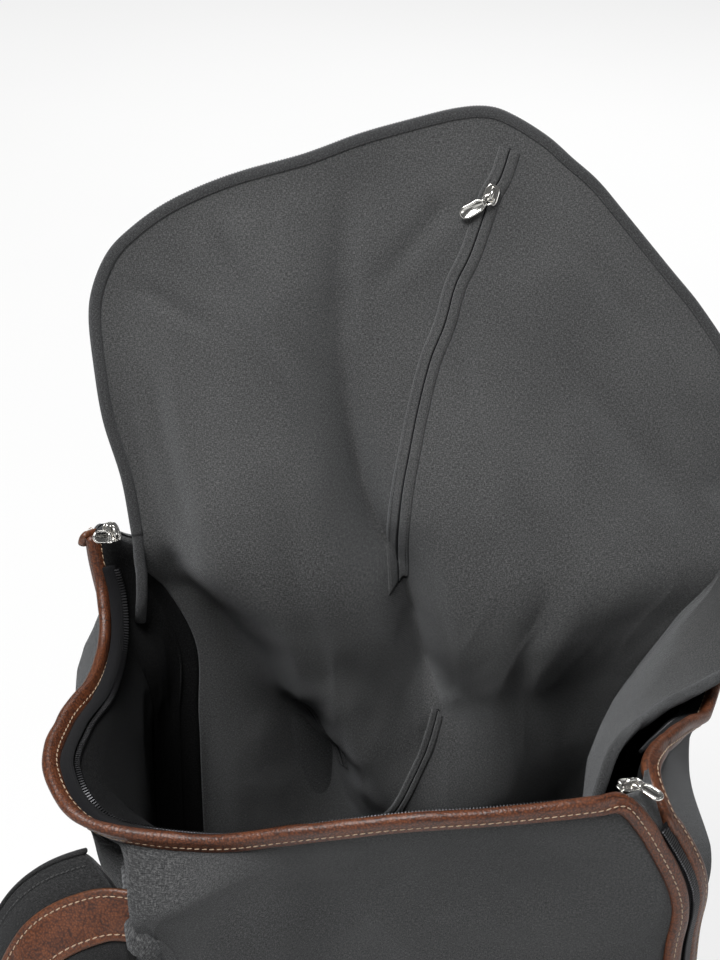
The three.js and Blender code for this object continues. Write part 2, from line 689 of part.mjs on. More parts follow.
// pad centre line from the top down, the way it faces at each point,
// and the webbing's lower end at the base corner
const STRAPS = [
  {
    side: "left",
    sign: -1,
    centres: [
      [-112, -112, 341], [-130, -112, 350], [-154, -109, 347], [-184, -111, 325],
      [-204, -121, 280], [-210, -132, 225], [-204, -133, 172], [-190, -128, 124],
    ],
    normals: [
      [-0.05, -0.99, 0.08], [-0.15, -0.95, 0.3], [-0.25, -0.87, 0.42], [-0.5, -0.72, 0.48],
      [-0.72, -0.66, 0.22], [-0.76, -0.65, 0], [-0.74, -0.65, -0.15], [-0.7, -0.66, -0.28],
    ],
    webEnd: [-139, -98, 34],
  },
  {
    side: "right",
    sign: 1,
    centres: [
      [96, -115, 268], [112, -123, 268], [136, -134, 254], [160, -140, 228],
      [174, -145, 192], [176, -143, 156], [170, -135, 122], [162, -126, 93],
    ],
    normals: [
      [0.05, -0.96, 0.26], [0.1, -0.9, 0.42], [0.3, -0.85, 0.42], [0.5, -0.8, 0.3],
      [0.6, -0.78, 0.1], [0.62, -0.78, -0.05], [0.6, -0.77, -0.15], [0.56, -0.78, -0.25],
    ],
    webEnd: [140, -98, 34],
  },
];

function pathFrame({ centres, normals }, t) {
  const centre = spline(centres, t);
  const tangent = unit(subtract(spline(centres, t + 0.01), spline(centres, t - 0.01)));
  const facing = spline(normals, t);
  const normal = unit(offset(facing, tangent, -dot(facing, tangent)));
  return { centre, tangent, normal, across: cross(normal, tangent) };
}
const pathPoint = (path, t, aside, height) => {
  const { centre, across, normal } = pathFrame(path, t);
  return offset(offset(centre, across, aside), normal, height);
};

// share of the full width, narrowing at both ends
const padTaper = (t) =>
  Math.min(1, 0.55 + 0.45 * Math.min(1, t / 0.12), 0.5 + 0.5 * Math.min(1, (1 - t) / 0.16));
function padGeometry(path) {
  const face = (sign) => (s, t) => {
    const height = (PAD_THICKNESS / 2) * (1 - 0.55 * (2 * s - 1) ** 4);
    return pathPoint(path, t, (s - 0.5) * PAD_WIDTH * padTaper(t), sign * height);
  };
  return slab(face(1), face(-1), 4, 16);
}

const LOCK_OUTLINE = [
  [-7.5, -17], [7.5, -17], [9, -15], [9, 15], [7.5, 17], [-7.5, 17], [-9, 15], [-9, -15],
];
function ladderLockGeometry() {
  const body = toManifold(plate(LOCK_OUTLINE, 3.4, 0.5).translate(0, 0, -1.7));
  const slot = (x) => toManifold(new THREE.BoxGeometry(3.8, 26.6, 6).translate(x, 0, 0));
  return fromManifold(body.subtract(slot(-4.1)).subtract(slot(3.7)));
}

// from the pad's lower end to the base corner
function webPath({ sign, webEnd }, { centre, tangent, normal }) {
  const endNormal = [sign * 0.5, -0.87, 0];
  return {
    centres: [
      offset(centre, tangent, 7),
      offset(mixPoints(centre, webEnd, 0.5), normal, 5),
      webEnd,
    ],
    normals: [normal, unit(mixPoints(normal, endNormal, 0.6)), endNormal],
  };
}

for (const strap of STRAPS) {
  const { side } = strap;
  const group = addGroup(bag);
  piece(`strap_pad_${side}`, padGeometry(strap), cloth, group);

  const padPoint = (t, aside, height) => pathPoint(strap, t, aside, height);
  const leatherHeights = [PAD_THICKNESS / 2 + 3.7, PAD_THICKNESS / 2 + 1.8];
  piece(`strap_leather_${side}`, sheet(padPoint, [-14, 14], leatherHeights, 16), leather, group);

  const end = pathFrame(strap, 1);
  const lock = addGroup(group);
  lock.applyMatrix4(frame(end.tangent, end.normal, offset(end.centre, end.tangent, 9)));
  piece(`ladder_lock_${side}`, ladderLockGeometry(), silver, lock);

  const web = webPath(strap, end);
  const webPoint = (t, aside, height) => pathPoint(web, 0.25 + 0.71 * t, aside, height);
  const webSpan = [-WEB_WIDTH / 2, WEB_WIDTH / 2];
  const webHeights = [WEB_THICKNESS / 2, -WEB_THICKNESS / 2];
  piece(`strap_webbing_${side}`, sheet(webPoint, webSpan, webHeights, 10), webbing, group);
}

// leather anchors on the walls, next to each strap's ends: place, columns, rises
const ANCHORS = [
  ["top_left", [0.3, 0.8], [0.74, 0.87]],
  ["top_right", [2.98, 3.44], [0.545, 0.665]],
  ["low_left", [22.45, 23.6], [0.085, 0.17]],
  ["low_right", [4.4, 5.5], [0.085, 0.17]],
];
for (const [place, columns, rises] of ANCHORS) {
  piece(`strap_anchor_${place}`, bodySheet(columns, rises, [2.6, 0.8], 3, 3), leather);
}

export default bag;
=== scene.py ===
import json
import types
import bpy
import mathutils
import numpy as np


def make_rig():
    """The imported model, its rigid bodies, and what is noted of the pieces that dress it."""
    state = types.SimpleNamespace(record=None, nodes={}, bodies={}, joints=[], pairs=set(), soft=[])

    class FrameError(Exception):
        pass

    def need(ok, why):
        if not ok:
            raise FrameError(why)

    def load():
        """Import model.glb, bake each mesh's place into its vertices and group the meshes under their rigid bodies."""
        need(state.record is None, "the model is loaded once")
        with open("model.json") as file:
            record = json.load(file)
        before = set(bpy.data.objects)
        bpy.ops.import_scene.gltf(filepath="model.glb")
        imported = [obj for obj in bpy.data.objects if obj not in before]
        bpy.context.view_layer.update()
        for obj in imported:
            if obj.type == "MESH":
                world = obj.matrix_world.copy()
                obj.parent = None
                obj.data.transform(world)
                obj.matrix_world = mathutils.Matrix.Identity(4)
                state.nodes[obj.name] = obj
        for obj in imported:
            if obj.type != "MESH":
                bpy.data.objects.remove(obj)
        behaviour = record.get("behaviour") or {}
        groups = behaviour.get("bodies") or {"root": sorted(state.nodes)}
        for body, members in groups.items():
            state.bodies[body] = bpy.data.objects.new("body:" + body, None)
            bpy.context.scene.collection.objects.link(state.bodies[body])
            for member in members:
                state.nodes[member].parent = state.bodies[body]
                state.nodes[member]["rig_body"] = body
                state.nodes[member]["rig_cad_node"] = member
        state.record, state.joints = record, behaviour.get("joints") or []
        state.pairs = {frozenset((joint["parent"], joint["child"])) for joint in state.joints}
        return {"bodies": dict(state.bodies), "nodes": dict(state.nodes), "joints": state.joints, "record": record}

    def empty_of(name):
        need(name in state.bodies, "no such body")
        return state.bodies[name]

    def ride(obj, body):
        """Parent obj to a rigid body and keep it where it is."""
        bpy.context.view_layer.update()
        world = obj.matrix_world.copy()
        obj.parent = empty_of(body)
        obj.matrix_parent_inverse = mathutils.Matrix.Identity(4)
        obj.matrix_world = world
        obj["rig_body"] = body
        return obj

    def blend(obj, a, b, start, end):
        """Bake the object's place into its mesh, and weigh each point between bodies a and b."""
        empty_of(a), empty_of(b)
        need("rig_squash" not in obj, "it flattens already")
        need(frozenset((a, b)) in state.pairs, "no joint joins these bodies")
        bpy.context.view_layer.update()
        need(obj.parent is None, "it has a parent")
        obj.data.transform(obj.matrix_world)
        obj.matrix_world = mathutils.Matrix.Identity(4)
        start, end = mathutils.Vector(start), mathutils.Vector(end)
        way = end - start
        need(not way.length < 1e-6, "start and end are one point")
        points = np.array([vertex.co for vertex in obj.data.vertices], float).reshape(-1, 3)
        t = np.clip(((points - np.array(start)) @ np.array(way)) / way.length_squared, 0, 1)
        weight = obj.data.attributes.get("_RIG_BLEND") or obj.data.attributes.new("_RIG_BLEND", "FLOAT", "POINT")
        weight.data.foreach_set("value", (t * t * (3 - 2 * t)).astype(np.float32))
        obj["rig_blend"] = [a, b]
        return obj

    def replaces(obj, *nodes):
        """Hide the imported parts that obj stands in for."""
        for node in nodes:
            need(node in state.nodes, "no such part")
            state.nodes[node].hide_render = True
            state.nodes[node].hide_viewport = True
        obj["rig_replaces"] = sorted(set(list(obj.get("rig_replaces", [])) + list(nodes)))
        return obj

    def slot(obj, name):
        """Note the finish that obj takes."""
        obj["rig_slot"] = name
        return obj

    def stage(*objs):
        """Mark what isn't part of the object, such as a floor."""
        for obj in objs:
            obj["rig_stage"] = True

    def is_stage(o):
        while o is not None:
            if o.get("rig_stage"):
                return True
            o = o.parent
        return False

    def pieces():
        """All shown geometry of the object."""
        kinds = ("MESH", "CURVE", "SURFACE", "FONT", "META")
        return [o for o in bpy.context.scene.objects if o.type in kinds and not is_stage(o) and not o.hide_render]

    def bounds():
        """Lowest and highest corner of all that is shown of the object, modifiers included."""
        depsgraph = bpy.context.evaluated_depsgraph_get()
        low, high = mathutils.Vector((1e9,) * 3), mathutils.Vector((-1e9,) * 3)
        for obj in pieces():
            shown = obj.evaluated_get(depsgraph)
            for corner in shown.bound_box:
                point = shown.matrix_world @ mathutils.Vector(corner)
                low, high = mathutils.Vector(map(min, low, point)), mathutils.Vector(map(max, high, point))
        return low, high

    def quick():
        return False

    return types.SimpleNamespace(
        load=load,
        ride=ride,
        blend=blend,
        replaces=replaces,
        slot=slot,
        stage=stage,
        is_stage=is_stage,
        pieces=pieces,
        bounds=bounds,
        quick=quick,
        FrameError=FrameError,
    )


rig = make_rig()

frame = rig.load()

import json
import math

import bmesh
import bpy
import numpy as np
from mathutils import Vector

cad_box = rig.bounds()
scene = bpy.context.scene
MM = 0.001
COARSE = 2 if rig.quick() else 1     # divides the segment counts of the big cloth grids


# ------------------------------------------------------------------ vectors and curves
def vec(*values):
    return np.array(values, float)


def unit(a):
    a = np.asarray(a, float)
    length = np.linalg.norm(a, axis=-1, keepdims=True)
    return a / np.where(length < 1e-12, 1, length)


def catmull(a, b, c, d, t):
    """Catmull-Rom between b and c"""
    return 0.5 * (2 * b + (c - a) * t + (2 * a - 5 * b + 4 * c - d) * t * t
                  + (3 * b - a - 3 * c + d) * t ** 3)


def spline(points, t):
    """open Catmull-Rom through the rows of points, t in 0..1"""
    points = np.asarray(points, float)
    spans = len(points) - 1
    place = np.clip(np.atleast_1d(np.asarray(t, float)), 0, 1) * spans
    i = np.minimum(np.floor(place).astype(int), spans - 1)
    row = np.vstack([2 * points[0] - points[1], points, 2 * points[-1] - points[-2]])
    return catmull(row[i], row[i + 1], row[i + 2], row[i + 3], (place - i)[..., None])


def ease(start, end, x):
    """smooth step from 0 at start to 1 at end"""
    t = np.clip((np.asarray(x, float) - start) / (end - start), 0, 1)
    return t * t * (3 - 2 * t)


def arc_length(points):
    return np.concatenate([[0], np.cumsum(np.linalg.norm(np.diff(points, axis=0), axis=1))])


def resample(path, step, *directions):
    """path at an even step, with unit directions carried along it"""
    path = np.asarray(path, float)
    length = arc_length(path)
    count = max(2, int(round(length[-1] / step)) + 1)
    places = np.linspace(0, length[-1], count)

    def at_places(rows):
        rows = np.broadcast_to(np.asarray(rows, float), path.shape)
        return np.stack([np.interp(places, length, rows[:, k]) for k in range(3)], -1)

    return (at_places(path),) + tuple(unit(at_places(d)) for d in directions)


def polyline(corners, count):
    """count points on each side, without the last corner"""
    corners = np.asarray(corners, float)
    steps = np.linspace(0, 1, count, endpoint=False)[:, None]
    return np.vstack([a + (b - a) * steps for a, b in zip(corners[:-1], corners[1:])])


def rectangle(x0, y0, x1, y1, count):
    """closed outline, anticlockwise, first point repeated at the end"""
    points = polyline([(x0, y0), (x1, y0), (x1, y1), (x0, y1), (x0, y0)], count)
    return np.vstack([points, points[:1]])


def smooth_directions(directions, rounds):
    for _ in range(rounds):
        directions[1:-1] = unit(directions[:-2] + 2 * directions[1:-1] + directions[2:])


# ------------------------------------------------------------------ noise
LATTICE = np.random.RandomState(7).rand(64, 64)


def noise(x, y, seed=0):
    """value noise, 0..1"""
    x = np.asarray(x, float) + seed * 17.31
    y = np.asarray(y, float) + seed * 9.77
    i = np.floor(x).astype(int)
    j = np.floor(y).astype(int)
    fx = x - i
    fy = y - j
    fx = fx * fx * fx * (fx * (fx * 6 - 15) + 10)
    fy = fy * fy * fy * (fy * (fy * 6 - 15) + 10)
    a = LATTICE[i % 64, j % 64]
    b = LATTICE[(i + 1) % 64, j % 64]
    c = LATTICE[i % 64, (j + 1) % 64]
    d = LATTICE[(i + 1) % 64, (j + 1) % 64]
    return (a * (1 - fx) + b * fx) * (1 - fy) + (c * (1 - fx) + d * fx) * fy


def layered_noise(x, y, seed):
    """three octaves about zero"""
    total = 0
    for n in range(3):
        total = total + 0.5 ** n * (noise(x * 2 ** n, y * 2 ** n, seed + n) - 0.5)
    return total


def folds(x, y, seed):
    """soft folds: rounded crests, tighter valleys, -0.5..0.5"""
    n = noise(x + 0.6 * noise(x * 0.7, y * 0.7, seed + 5),
              y + 0.6 * noise(x * 0.6, y * 0.8, seed + 8), seed)
    return (1 - np.abs(2 * n - 1)) ** 1.4 - 0.5


# ------------------------------------------------------------------ body surface
COLUMNS = 24
CLOTH_THICK = 2.6
CENTRE = vec(0, 4)                  # middle of the base in plan


def level_ring(centre_x, half_x, half_y, corner, z):
    """one level of the wall: a rounded rectangle of 24 points"""
    cy = CENTRE[1]
    flat_x, flat_y = half_x - corner, half_y - corner

    def arc(x, y, *degrees):
        return [(centre_x + x + corner * math.cos(math.radians(d)),
                 cy + y + corner * math.sin(math.radians(d))) for d in degrees]

    ring = [(centre_x - flat_x + i * flat_x / 2, cy - half_y) for i in range(5)]
    ring += arc(flat_x, -flat_y, -60, -30)
    ring += [(centre_x + half_x, cy - flat_y + i * flat_y) for i in range(3)]
    ring += arc(flat_x, flat_y, 30, 60)
    ring += [(centre_x + flat_x - i * flat_x / 2, cy + half_y) for i in range(5)]
    ring += arc(-flat_x, flat_y, 120, 150)
    ring += [(centre_x - half_x, cy + flat_y - i * flat_y) for i in range(3)]
    ring += arc(-flat_x, -flat_y, 210, 240)
    return [(x, y, z) for x, y in ring]


# the slumped rim, one (x, y, z) for each column
RIM = [
    (-101, -97, 380), (-50, -106, 394), (0, -110, 405), (45, -109, 408), (88, -104, 409),
    (112, -97, 407), (127, -82, 403), (137, -46, 395), (157, -8, 382), (174, 28, 366),
    (190, 72, 374), (197, 103, 404), (186, 116, 424), (98, 119, 422.5), (10, 120, 422.5),
    (-80, 119, 422.5), (-152, 117, 424), (-171, 110, 436), (-169, 96, 404), (-168, 70, 383),
    (-171, 32, 380), (-180, -4, 383), (-181, -46, 386), (-157, -80, 378)]
LEVELS = np.array([
    level_ring(0, 146, 94, 34, 3.4), level_ring(0, 154, 101, 36, 20),
    level_ring(0, 160, 107, 38, 110), level_ring(0, 161, 108, 38, 215),
    level_ring(1, 159, 107, 36, 305), level_ring(1, 158, 106, 34, 350), RIM], float)
# shifts of the near left corner: column, dx, dy; the level below takes 0.7 of them
for column, dx, dy in [(20, 6, 0), (21, 16, -2), (22, 26, 12), (23, 22, 20), (0, 6, 12), (1, 0, 3)]:
    LEVELS[5, column, :2] += (dx, dy)
    LEVELS[4, column, :2] += (dx * 0.7, dy * 0.7)
# shifts of the level under the rim: column, dx, dy, dz
for column, *shift in [
        (8, 0, 0, -18), (9, 6, 0, -22), (10, 16, 0, -14), (11, 20, 4, 0), (12, 14, 6, 8),
        (13, 0, 6, 12), (14, 0, 6, 12), (15, 0, 6, 12), (16, 0, 6, 12), (17, 0, 4, 8),
        (19, -2, 0, -8), (20, -2, 0, -10), (21, 0, 0, -6), (23, 0, 0, -12), (22, 0, 0, -8)]:
    LEVELS[5, column] += shift


def level_at(level, u):
    m = np.mod(u, COLUMNS)
    i = np.floor(m).astype(int)
    return catmull(LEVELS[level, (i - 1) % COLUMNS], LEVELS[level, i % COLUMNS],
                   LEVELS[level, (i + 1) % COLUMNS], LEVELS[level, (i + 2) % COLUMNS],
                   (m - i)[..., None])


def wall(u, v):
    """the plain wall surface"""
    u, v = np.broadcast_arrays(np.asarray(u, float), np.asarray(v, float))
    top = len(LEVELS) - 1
    f = np.clip(v, 0, 1) * top
    i = np.minimum(np.floor(f).astype(int), top - 1)
    a = level_at(i, u)
    b = level_at(i + 1, u)
    below = np.where((i > 0)[..., None], level_at(np.maximum(i - 1, 0), u), 2 * a - b)
    above = np.where((i + 2 <= top)[..., None], level_at(np.minimum(i + 2, top), u), 2 * b - a)
    return catmull(below, a, b, above, (f - i)[..., None])


def wall_normal(u, v):
    """outward normal"""
    u, v = np.broadcast_arrays(np.asarray(u, float), np.asarray(v, float))
    e = 0.02
    low = np.maximum(v - e, 0)
    high = np.minimum(v + e, 1)
    return unit(np.cross(wall(u + e, v) - wall(u - e, v), wall(u, high) - wall(u, low)))


def off_wall(u, v, h):
    """h outside the plain wall"""
    return wall(u, v) + wall_normal(u, v) * np.asarray(h, float)[..., None]


def rim_up(u):
    """direction up out of the rim, in the wall's surface"""
    u = np.asarray(u)
    return unit(np.cross(wall_normal(u, 1), wall(u + 0.15, 1) - wall(u - 0.15, 1)))


def beside(column, v, across):
    """the u that lies `across` mm round from a column"""
    width = np.linalg.norm(wall(column + 0.5, v) - wall(column - 0.5, v), axis=-1)
    return column + across / width


# seams between the four panels, and the columns of the two zip runs down the corners
SEAM_BACK_RIGHT, SEAM_FRONT_RIGHT, SEAM_FRONT_LEFT, SEAM_BACK_LEFT = 5.64, 11.03, 17.33, 22.48
RUN_RIGHT, RUN_LEFT, RUN_END = 5.65, 17.15, 0.52    # RUN_END: v of the runs' lower end


def on_run(column, across, h, v):
    v = np.asarray(v, float)
    return off_wall(beside(column, v, across), v, h)


def inward(u):
    """level direction into the mouth at the rim"""
    n = wall_normal(u, 1.0)
    return unit(np.stack([-n[..., 0], -n[..., 1], 0 * n[..., 0]], -1))


TAPE_TILT = 0.62                    # radians the rim's zip tape slopes down into the mouth


def on_tape(u, across, h):
    """a point of the zip tape inside the rim"""
    into = inward(u)
    up = rim_up(u)
    across = np.asarray(across, float)[..., None]
    sin, cos = math.sin(TAPE_TILT), math.cos(TAPE_TILT)
    foot = wall(u, 1.0) + into * (CLOTH_THICK + 3.2) + up * 3.2
    return foot + into * (across * cos + h * sin) + up * (-across * sin + h * cos)


# ------------------------------------------------------------------ lid surface
LEAN = math.radians(19)             # the open lid leans away, towards +Y
HINGE = vec(10.0, 118.0, 428.0)
LID_UP = vec(0, math.sin(LEAN), math.cos(LEAN))
LID_IN = vec(0, -math.cos(LEAN), math.sin(LEAN))    # out of the inner face
LID_S0, LID_S1, LID_FOOT = -159, 182, 7             # ends of the lid's lower edge and its w

# handle, on the lid's outer face: centres of its two patches are at s = -/+ PATCH_S
PATCH_S, PATCH_W, PATCH_SIZE = 56.0, 104, (26, 44)
PATCH_MID_W = PATCH_W + PATCH_SIZE[1] / 2
HANDLE_END_S, HANDLE_END_W = 52, 118


def lid_at(s, w, h):
    """h above the lid's panel; both its ends curl towards the inner face"""
    s, w, h = np.broadcast_arrays(*(np.asarray(a, float) for a in (s, w, h)))
    h = h + np.where(s < 0, 30 * (s / 185) ** 2, 10 * (s / 190) ** 2)
    sin, cos = LID_UP[1], LID_UP[2]
    return np.stack([HINGE[0] + s, HINGE[1] + w * sin - h * cos,
                     HINGE[2] + w * cos + h * sin], -1)


# the lid's outline in (s, w)
LID_LEFT = [(LID_S0, LID_FOOT), (-164, 41), (-173, 75), (-177, 105), (-179, 134), (-176, 152),
            (-168, 169)]
LID_TOP = [(-168, 169), (-156, 181), (-139, 193), (-118, 203), (-95, 211), (-61, 220), (-30, 231),
           (-1, 239), (24, 245), (42, 246), (56, 241), (74, 230), (88, 218), (102, 206),
           (116, 190), (143, 158), (163, 134)]
LID_RIGHT = [(LID_S1, LID_FOOT), (191, 38), (191, 70), (182, 104), (163, 134)]
LID_BOTTOM = [LID_LEFT[0], LID_RIGHT[0]]
LID_EDGE = np.array(LID_LEFT[:-1] + LID_TOP + LID_RIGHT[:-1][::-1], float)


def lid_patch(a, b):
    """Coons patch over the outline: a left to right, b bottom to top"""
    left, right = spline(LID_LEFT, b), spline(LID_RIGHT, b)
    top, bottom = spline(LID_TOP, a), spline(LID_BOTTOM, a)
    a, b = a[..., None], b[..., None]
    corners = ((1 - a) * (1 - b) * vec(*LID_LEFT[0]) + a * (1 - b) * vec(*LID_RIGHT[0])
               + (1 - a) * b * vec(*LID_TOP[0]) + a * b * vec(*LID_TOP[-1]))
    return (1 - a) * left + a * right + (1 - b) * bottom + b * top - corners


def edge_sw(t, out):
    """(s, w) along the lid's edge, `out` to the left of its travel"""
    p = spline(LID_EDGE, t)
    ahead, behind = np.minimum(t + 0.004, 1), np.maximum(t - 0.004, 0)
    d = unit(spline(LID_EDGE, ahead) - spline(LID_EDGE, behind))
    return p + np.stack([-d[:, 1], d[:, 0]], -1) * out


def edge_at(t, out, h):
    sw = edge_sw(t, out)
    return lid_at(sw[:, 0], sw[:, 1], h)


# ------------------------------------------------------------------ mesh makers
def outward(piece):
    bm = bmesh.new()
    bm.from_mesh(piece.data)
    bmesh.ops.recalc_face_normals(bm, faces=bm.faces)
    bm.to_mesh(piece.data)
    bm.free()
    return piece


def mesh_piece(name, verts, faces, uv, *materials, smooth=True, face_slots=None):
    """object from vertices and UVs in millimetres"""
    mesh = bpy.data.meshes.new(name)
    mesh.from_pydata([tuple(p) for p in (np.asarray(verts, float) * MM)], [],
                     [tuple(int(i) for i in f) for f in faces])
    layer = mesh.uv_layers.new(name="UVMap")
    corner = np.zeros(len(mesh.loops), np.int64)
    mesh.loops.foreach_get("vertex_index", corner)
    layer.data.foreach_set("uv", (np.asarray(uv, float)[corner] * MM).ravel())
    mesh.validate()
    mesh.update()
    piece = bpy.data.objects.new(name, mesh)
    scene.collection.objects.link(piece)
    if smooth:
        mesh.polygons.foreach_set("use_smooth", [True] * len(mesh.polygons))
    for material in materials:
        mesh.materials.append(material)
    if face_slots is not None:
        mesh.polygons.foreach_set("material_index", face_slots)
    return piece


def grid_normals(grid, closed=False):
    if closed:
        du = np.roll(grid, -1, 0) - np.roll(grid, 1, 0)
    else:
        du = np.gradient(grid, axis=0)
    return unit(np.cross(du, np.gradient(grid, axis=1)))


def points_away(grid, i, j, direction):
    return (grid_normals(grid)[i, j] @ direction) < 0


def grid_uv(grid):
    rows = np.linalg.norm(np.diff(grid, axis=0), axis=-1).mean(1)
    cols = np.linalg.norm(np.diff(grid, axis=1), axis=-1).mean(0)
    u = np.concatenate([[0], np.cumsum(rows)])
    v = np.concatenate([[0], np.cumsum(cols)])
    return np.stack(np.meshgrid(u, v, indexing="ij"), -1)


def sheet(name, outer, thick, material, closed=False, flip=False, uv=None):
    """closed solid: `outer` (rows, cols, 3) is one face, the other lies `thick` behind it"""
    rows, cols = outer.shape[:2]
    normals = grid_normals(outer, closed) * (-1 if flip else 1)
    inner = outer - normals * np.asarray(thick, float)[..., None]
    uv = (grid_uv(outer) if uv is None else uv).reshape(-1, 2)
    back = rows * cols                  # index of the first vertex of the inner face
    spans = rows if closed else rows - 1
    faces = []
    for i in range(spans):
        here, there = i * cols, (i + 1) % rows * cols
        for j in range(cols - 1):
            a, b, c, d = here + j, there + j, there + j + 1, here + j + 1
            faces.append((a, b, c, d))
            faces.append((back + a, back + d, back + c, back + b))
    for i in range(spans):
        a, b = i * cols, (i + 1) % rows * cols
        faces.append((a, back + a, back + b, b))
        c, d = a + cols - 1, b + cols - 1
        faces.append((c, d, back + d, back + c))
    if not closed:
        for j in range(cols - 1):
            faces.append((j, j + 1, back + j + 1, back + j))
            a = (rows - 1) * cols + j
            faces.append((a, back + a, back + a + 1, a + 1))
    verts = np.vstack([outer.reshape(-1, 3), inner.reshape(-1, 3)])
    return outward(mesh_piece(name, verts, faces, np.vstack([uv, uv]), material))


def tube_faces(rings, count):
    return [(i * count + j, i * count + (j + 1) % count,
             (i + 1) * count + (j + 1) % count, (i + 1) * count + j)
            for i in range(rings - 1) for j in range(count)]


def frames(path, normals):
    """tangent, squared-up normal and their cross product along a path"""
    along = unit(np.gradient(path, axis=0))
    normals = unit(normals - along * (normals * along).sum(-1, keepdims=True))
    return along, normals, np.cross(along, normals)


def sweep_mesh(path, normals, profile, across=None, scale=None):
    """closed profile of (normal, across) offsets carried along the path, with domed ends"""
    along, normals, side = frames(path, normals)
    if across is not None:
        side = unit(across - along * (across * along).sum(-1, keepdims=True)
                    - normals * (across * normals).sum(-1, keepdims=True))
    profile = np.asarray(profile, float)
    rings, count = len(path), len(profile)
    scale = np.ones(rings) if scale is None else np.asarray(scale, float)
    offsets = normals[:, None] * profile[None, :, 0:1] + side[:, None] * profile[None, :, 1:2]
    grid = path[:, None] + offsets * scale[:, None, None]
    length = arc_length(path)
    uv = np.stack(np.meshgrid(length, arc_length(profile), indexing="ij"), -1).reshape(-1, 2)
    faces = tube_faces(rings, count)
    start, end, last = rings * count, rings * count + 1, (rings - 1) * count
    for j in range(count):
        k = (j + 1) % count
        faces += [(start, k, j), (end, last + j, last + k)]
    verts = np.vstack([grid.reshape(-1, 3), grid[0].mean(0) - along[0] * 0.8,
                       grid[-1].mean(0) + along[-1] * 0.8])
    return verts, faces, np.vstack([uv, [0, 0], [length[-1], 0]])


def sweep(name, path, normals, profile, material, across=None, scale=None):
    verts, faces, uv = sweep_mesh(path, normals, profile, across, scale)
    return outward(mesh_piece(name, verts, faces, uv, material))


def oval(a, b, count=10, power=2.0):
    """superellipse profile; power 2 is an ellipse, more is squarer"""
    t = np.arange(count) * 2 * math.pi / count
    c, s = np.cos(t), np.sin(t)
    return np.stack([a * np.sign(c) * np.abs(c) ** (2 / power),
                     b * np.sign(s) * np.abs(s) ** (2 / power)], -1)


def strip(half_thick, low, high):
    """flat rectangular profile from low to high across"""
    return [(half_thick, low), (half_thick, high), (-half_thick, high), (-half_thick, low)]


def copies(name, shape, centres, along, normals, material, size, smooth=True):
    """a small solid at each centre: its x lies along, its z on the normal"""
    unit_verts, unit_faces = shape
    along = unit(along)
    normals = unit(normals - along * (normals * along).sum(-1, keepdims=True))
    side = np.cross(normals, along)
    solid = np.asarray(unit_verts, float) * np.asarray(size)
    verts = (centres[:, None] + along[:, None] * solid[None, :, 0:1]
             + side[:, None] * solid[None, :, 1:2] + normals[:, None] * solid[None, :, 2:3])
    count, each = len(centres), len(solid)
    faces = [tuple(i * each + j for j in f) for i in range(count) for f in unit_faces]
    # each copy sits on its own part of the texture
    shift = np.stack([np.arange(count) * 3.7, np.arange(count) * 1.3], -1)
    uv = np.repeat(shift, each, 0) + np.tile(solid[:, :2], (count, 1))
    return mesh_piece(name, verts.reshape(-1, 3), faces, uv, material, smooth=smooth)


def capsule_shape(sides=6):
    verts = [(-0.5, 0, 0.0)]
    for x, radius in [(-0.42, 0.6), (-0.2, 0.95), (0.2, 0.95), (0.42, 0.6)]:
        for i in range(sides):
            a = 2 * math.pi * i / sides
            verts.append((x, radius * 0.5 * math.cos(a), radius * 0.5 * math.sin(a)))
    verts.append((0.5, 0, 0.0))
    faces = []
    for i in range(sides):
        after = (i + 1) % sides
        faces.append((0, 1 + after, 1 + i))
        for k in range(3):
            a, b = 1 + k * sides + i, 1 + k * sides + after
            faces.append((a, b, b + sides, a + sides))
        faces.append((1 + 3 * sides + i, 1 + 3 * sides + after, 1 + 4 * sides))
    return verts, faces


def block_shape():
    """small block with cut corners"""
    outline = ((-0.5, -0.3), (-0.3, -0.5), (0.3, -0.5), (0.5, -0.3),
               (0.5, 0.3), (0.3, 0.5), (-0.3, 0.5), (-0.5, 0.3))
    layers = ((-0.5, 0.8), (-0.25, 1), (0.25, 1), (0.5, 0.8))       # z, scale
    verts = [(x * k, y * k, z) for z, k in layers for x, y in outline]
    return verts, tube_faces(4, 8) + [tuple(range(7, -1, -1)), tuple(range(24, 32))]


CAPSULE = capsule_shape()
BLOCK = block_shape()


def stitches(name, path, normals, thread, size, pitch=4.0, lift=0.0):
    """row of stitches, each of size (length, width, height) and a little askew"""
    points, normals = resample(path, pitch, normals)
    centres = (points[1:] + points[:-1]) / 2
    along = unit(points[1:] - points[:-1])
    normals = unit(normals[1:] + normals[:-1])
    random = np.random.RandomState(len(points))
    along = along + np.cross(normals, along) * (0.10 + 0.03 * random.randn(len(centres), 1))
    return copies(name, CAPSULE, centres + normals * lift, along, normals, thread, size)


def open_teeth(name, path, normals, size=(0.95, 2.6, 1.7)):
    """one side of an open zip"""
    points, normals = resample(path, 1.7, normals)
    return copies(name, BLOCK, (points[1:] + points[:-1]) / 2, points[1:] - points[:-1],
                  unit(normals[1:] + normals[:-1]), TEETH, size, smooth=False)


def closed_teeth(name, path, normals, first, size):
    """one side of a closed zip: every second place of a half-pitch row, from `first`"""
    points, normals = resample(path, 0.85, normals)
    points = points[first::2]
    return copies(name, BLOCK, points, np.gradient(points, axis=0), normals[first::2],
                  TEETH, size, smooth=False)


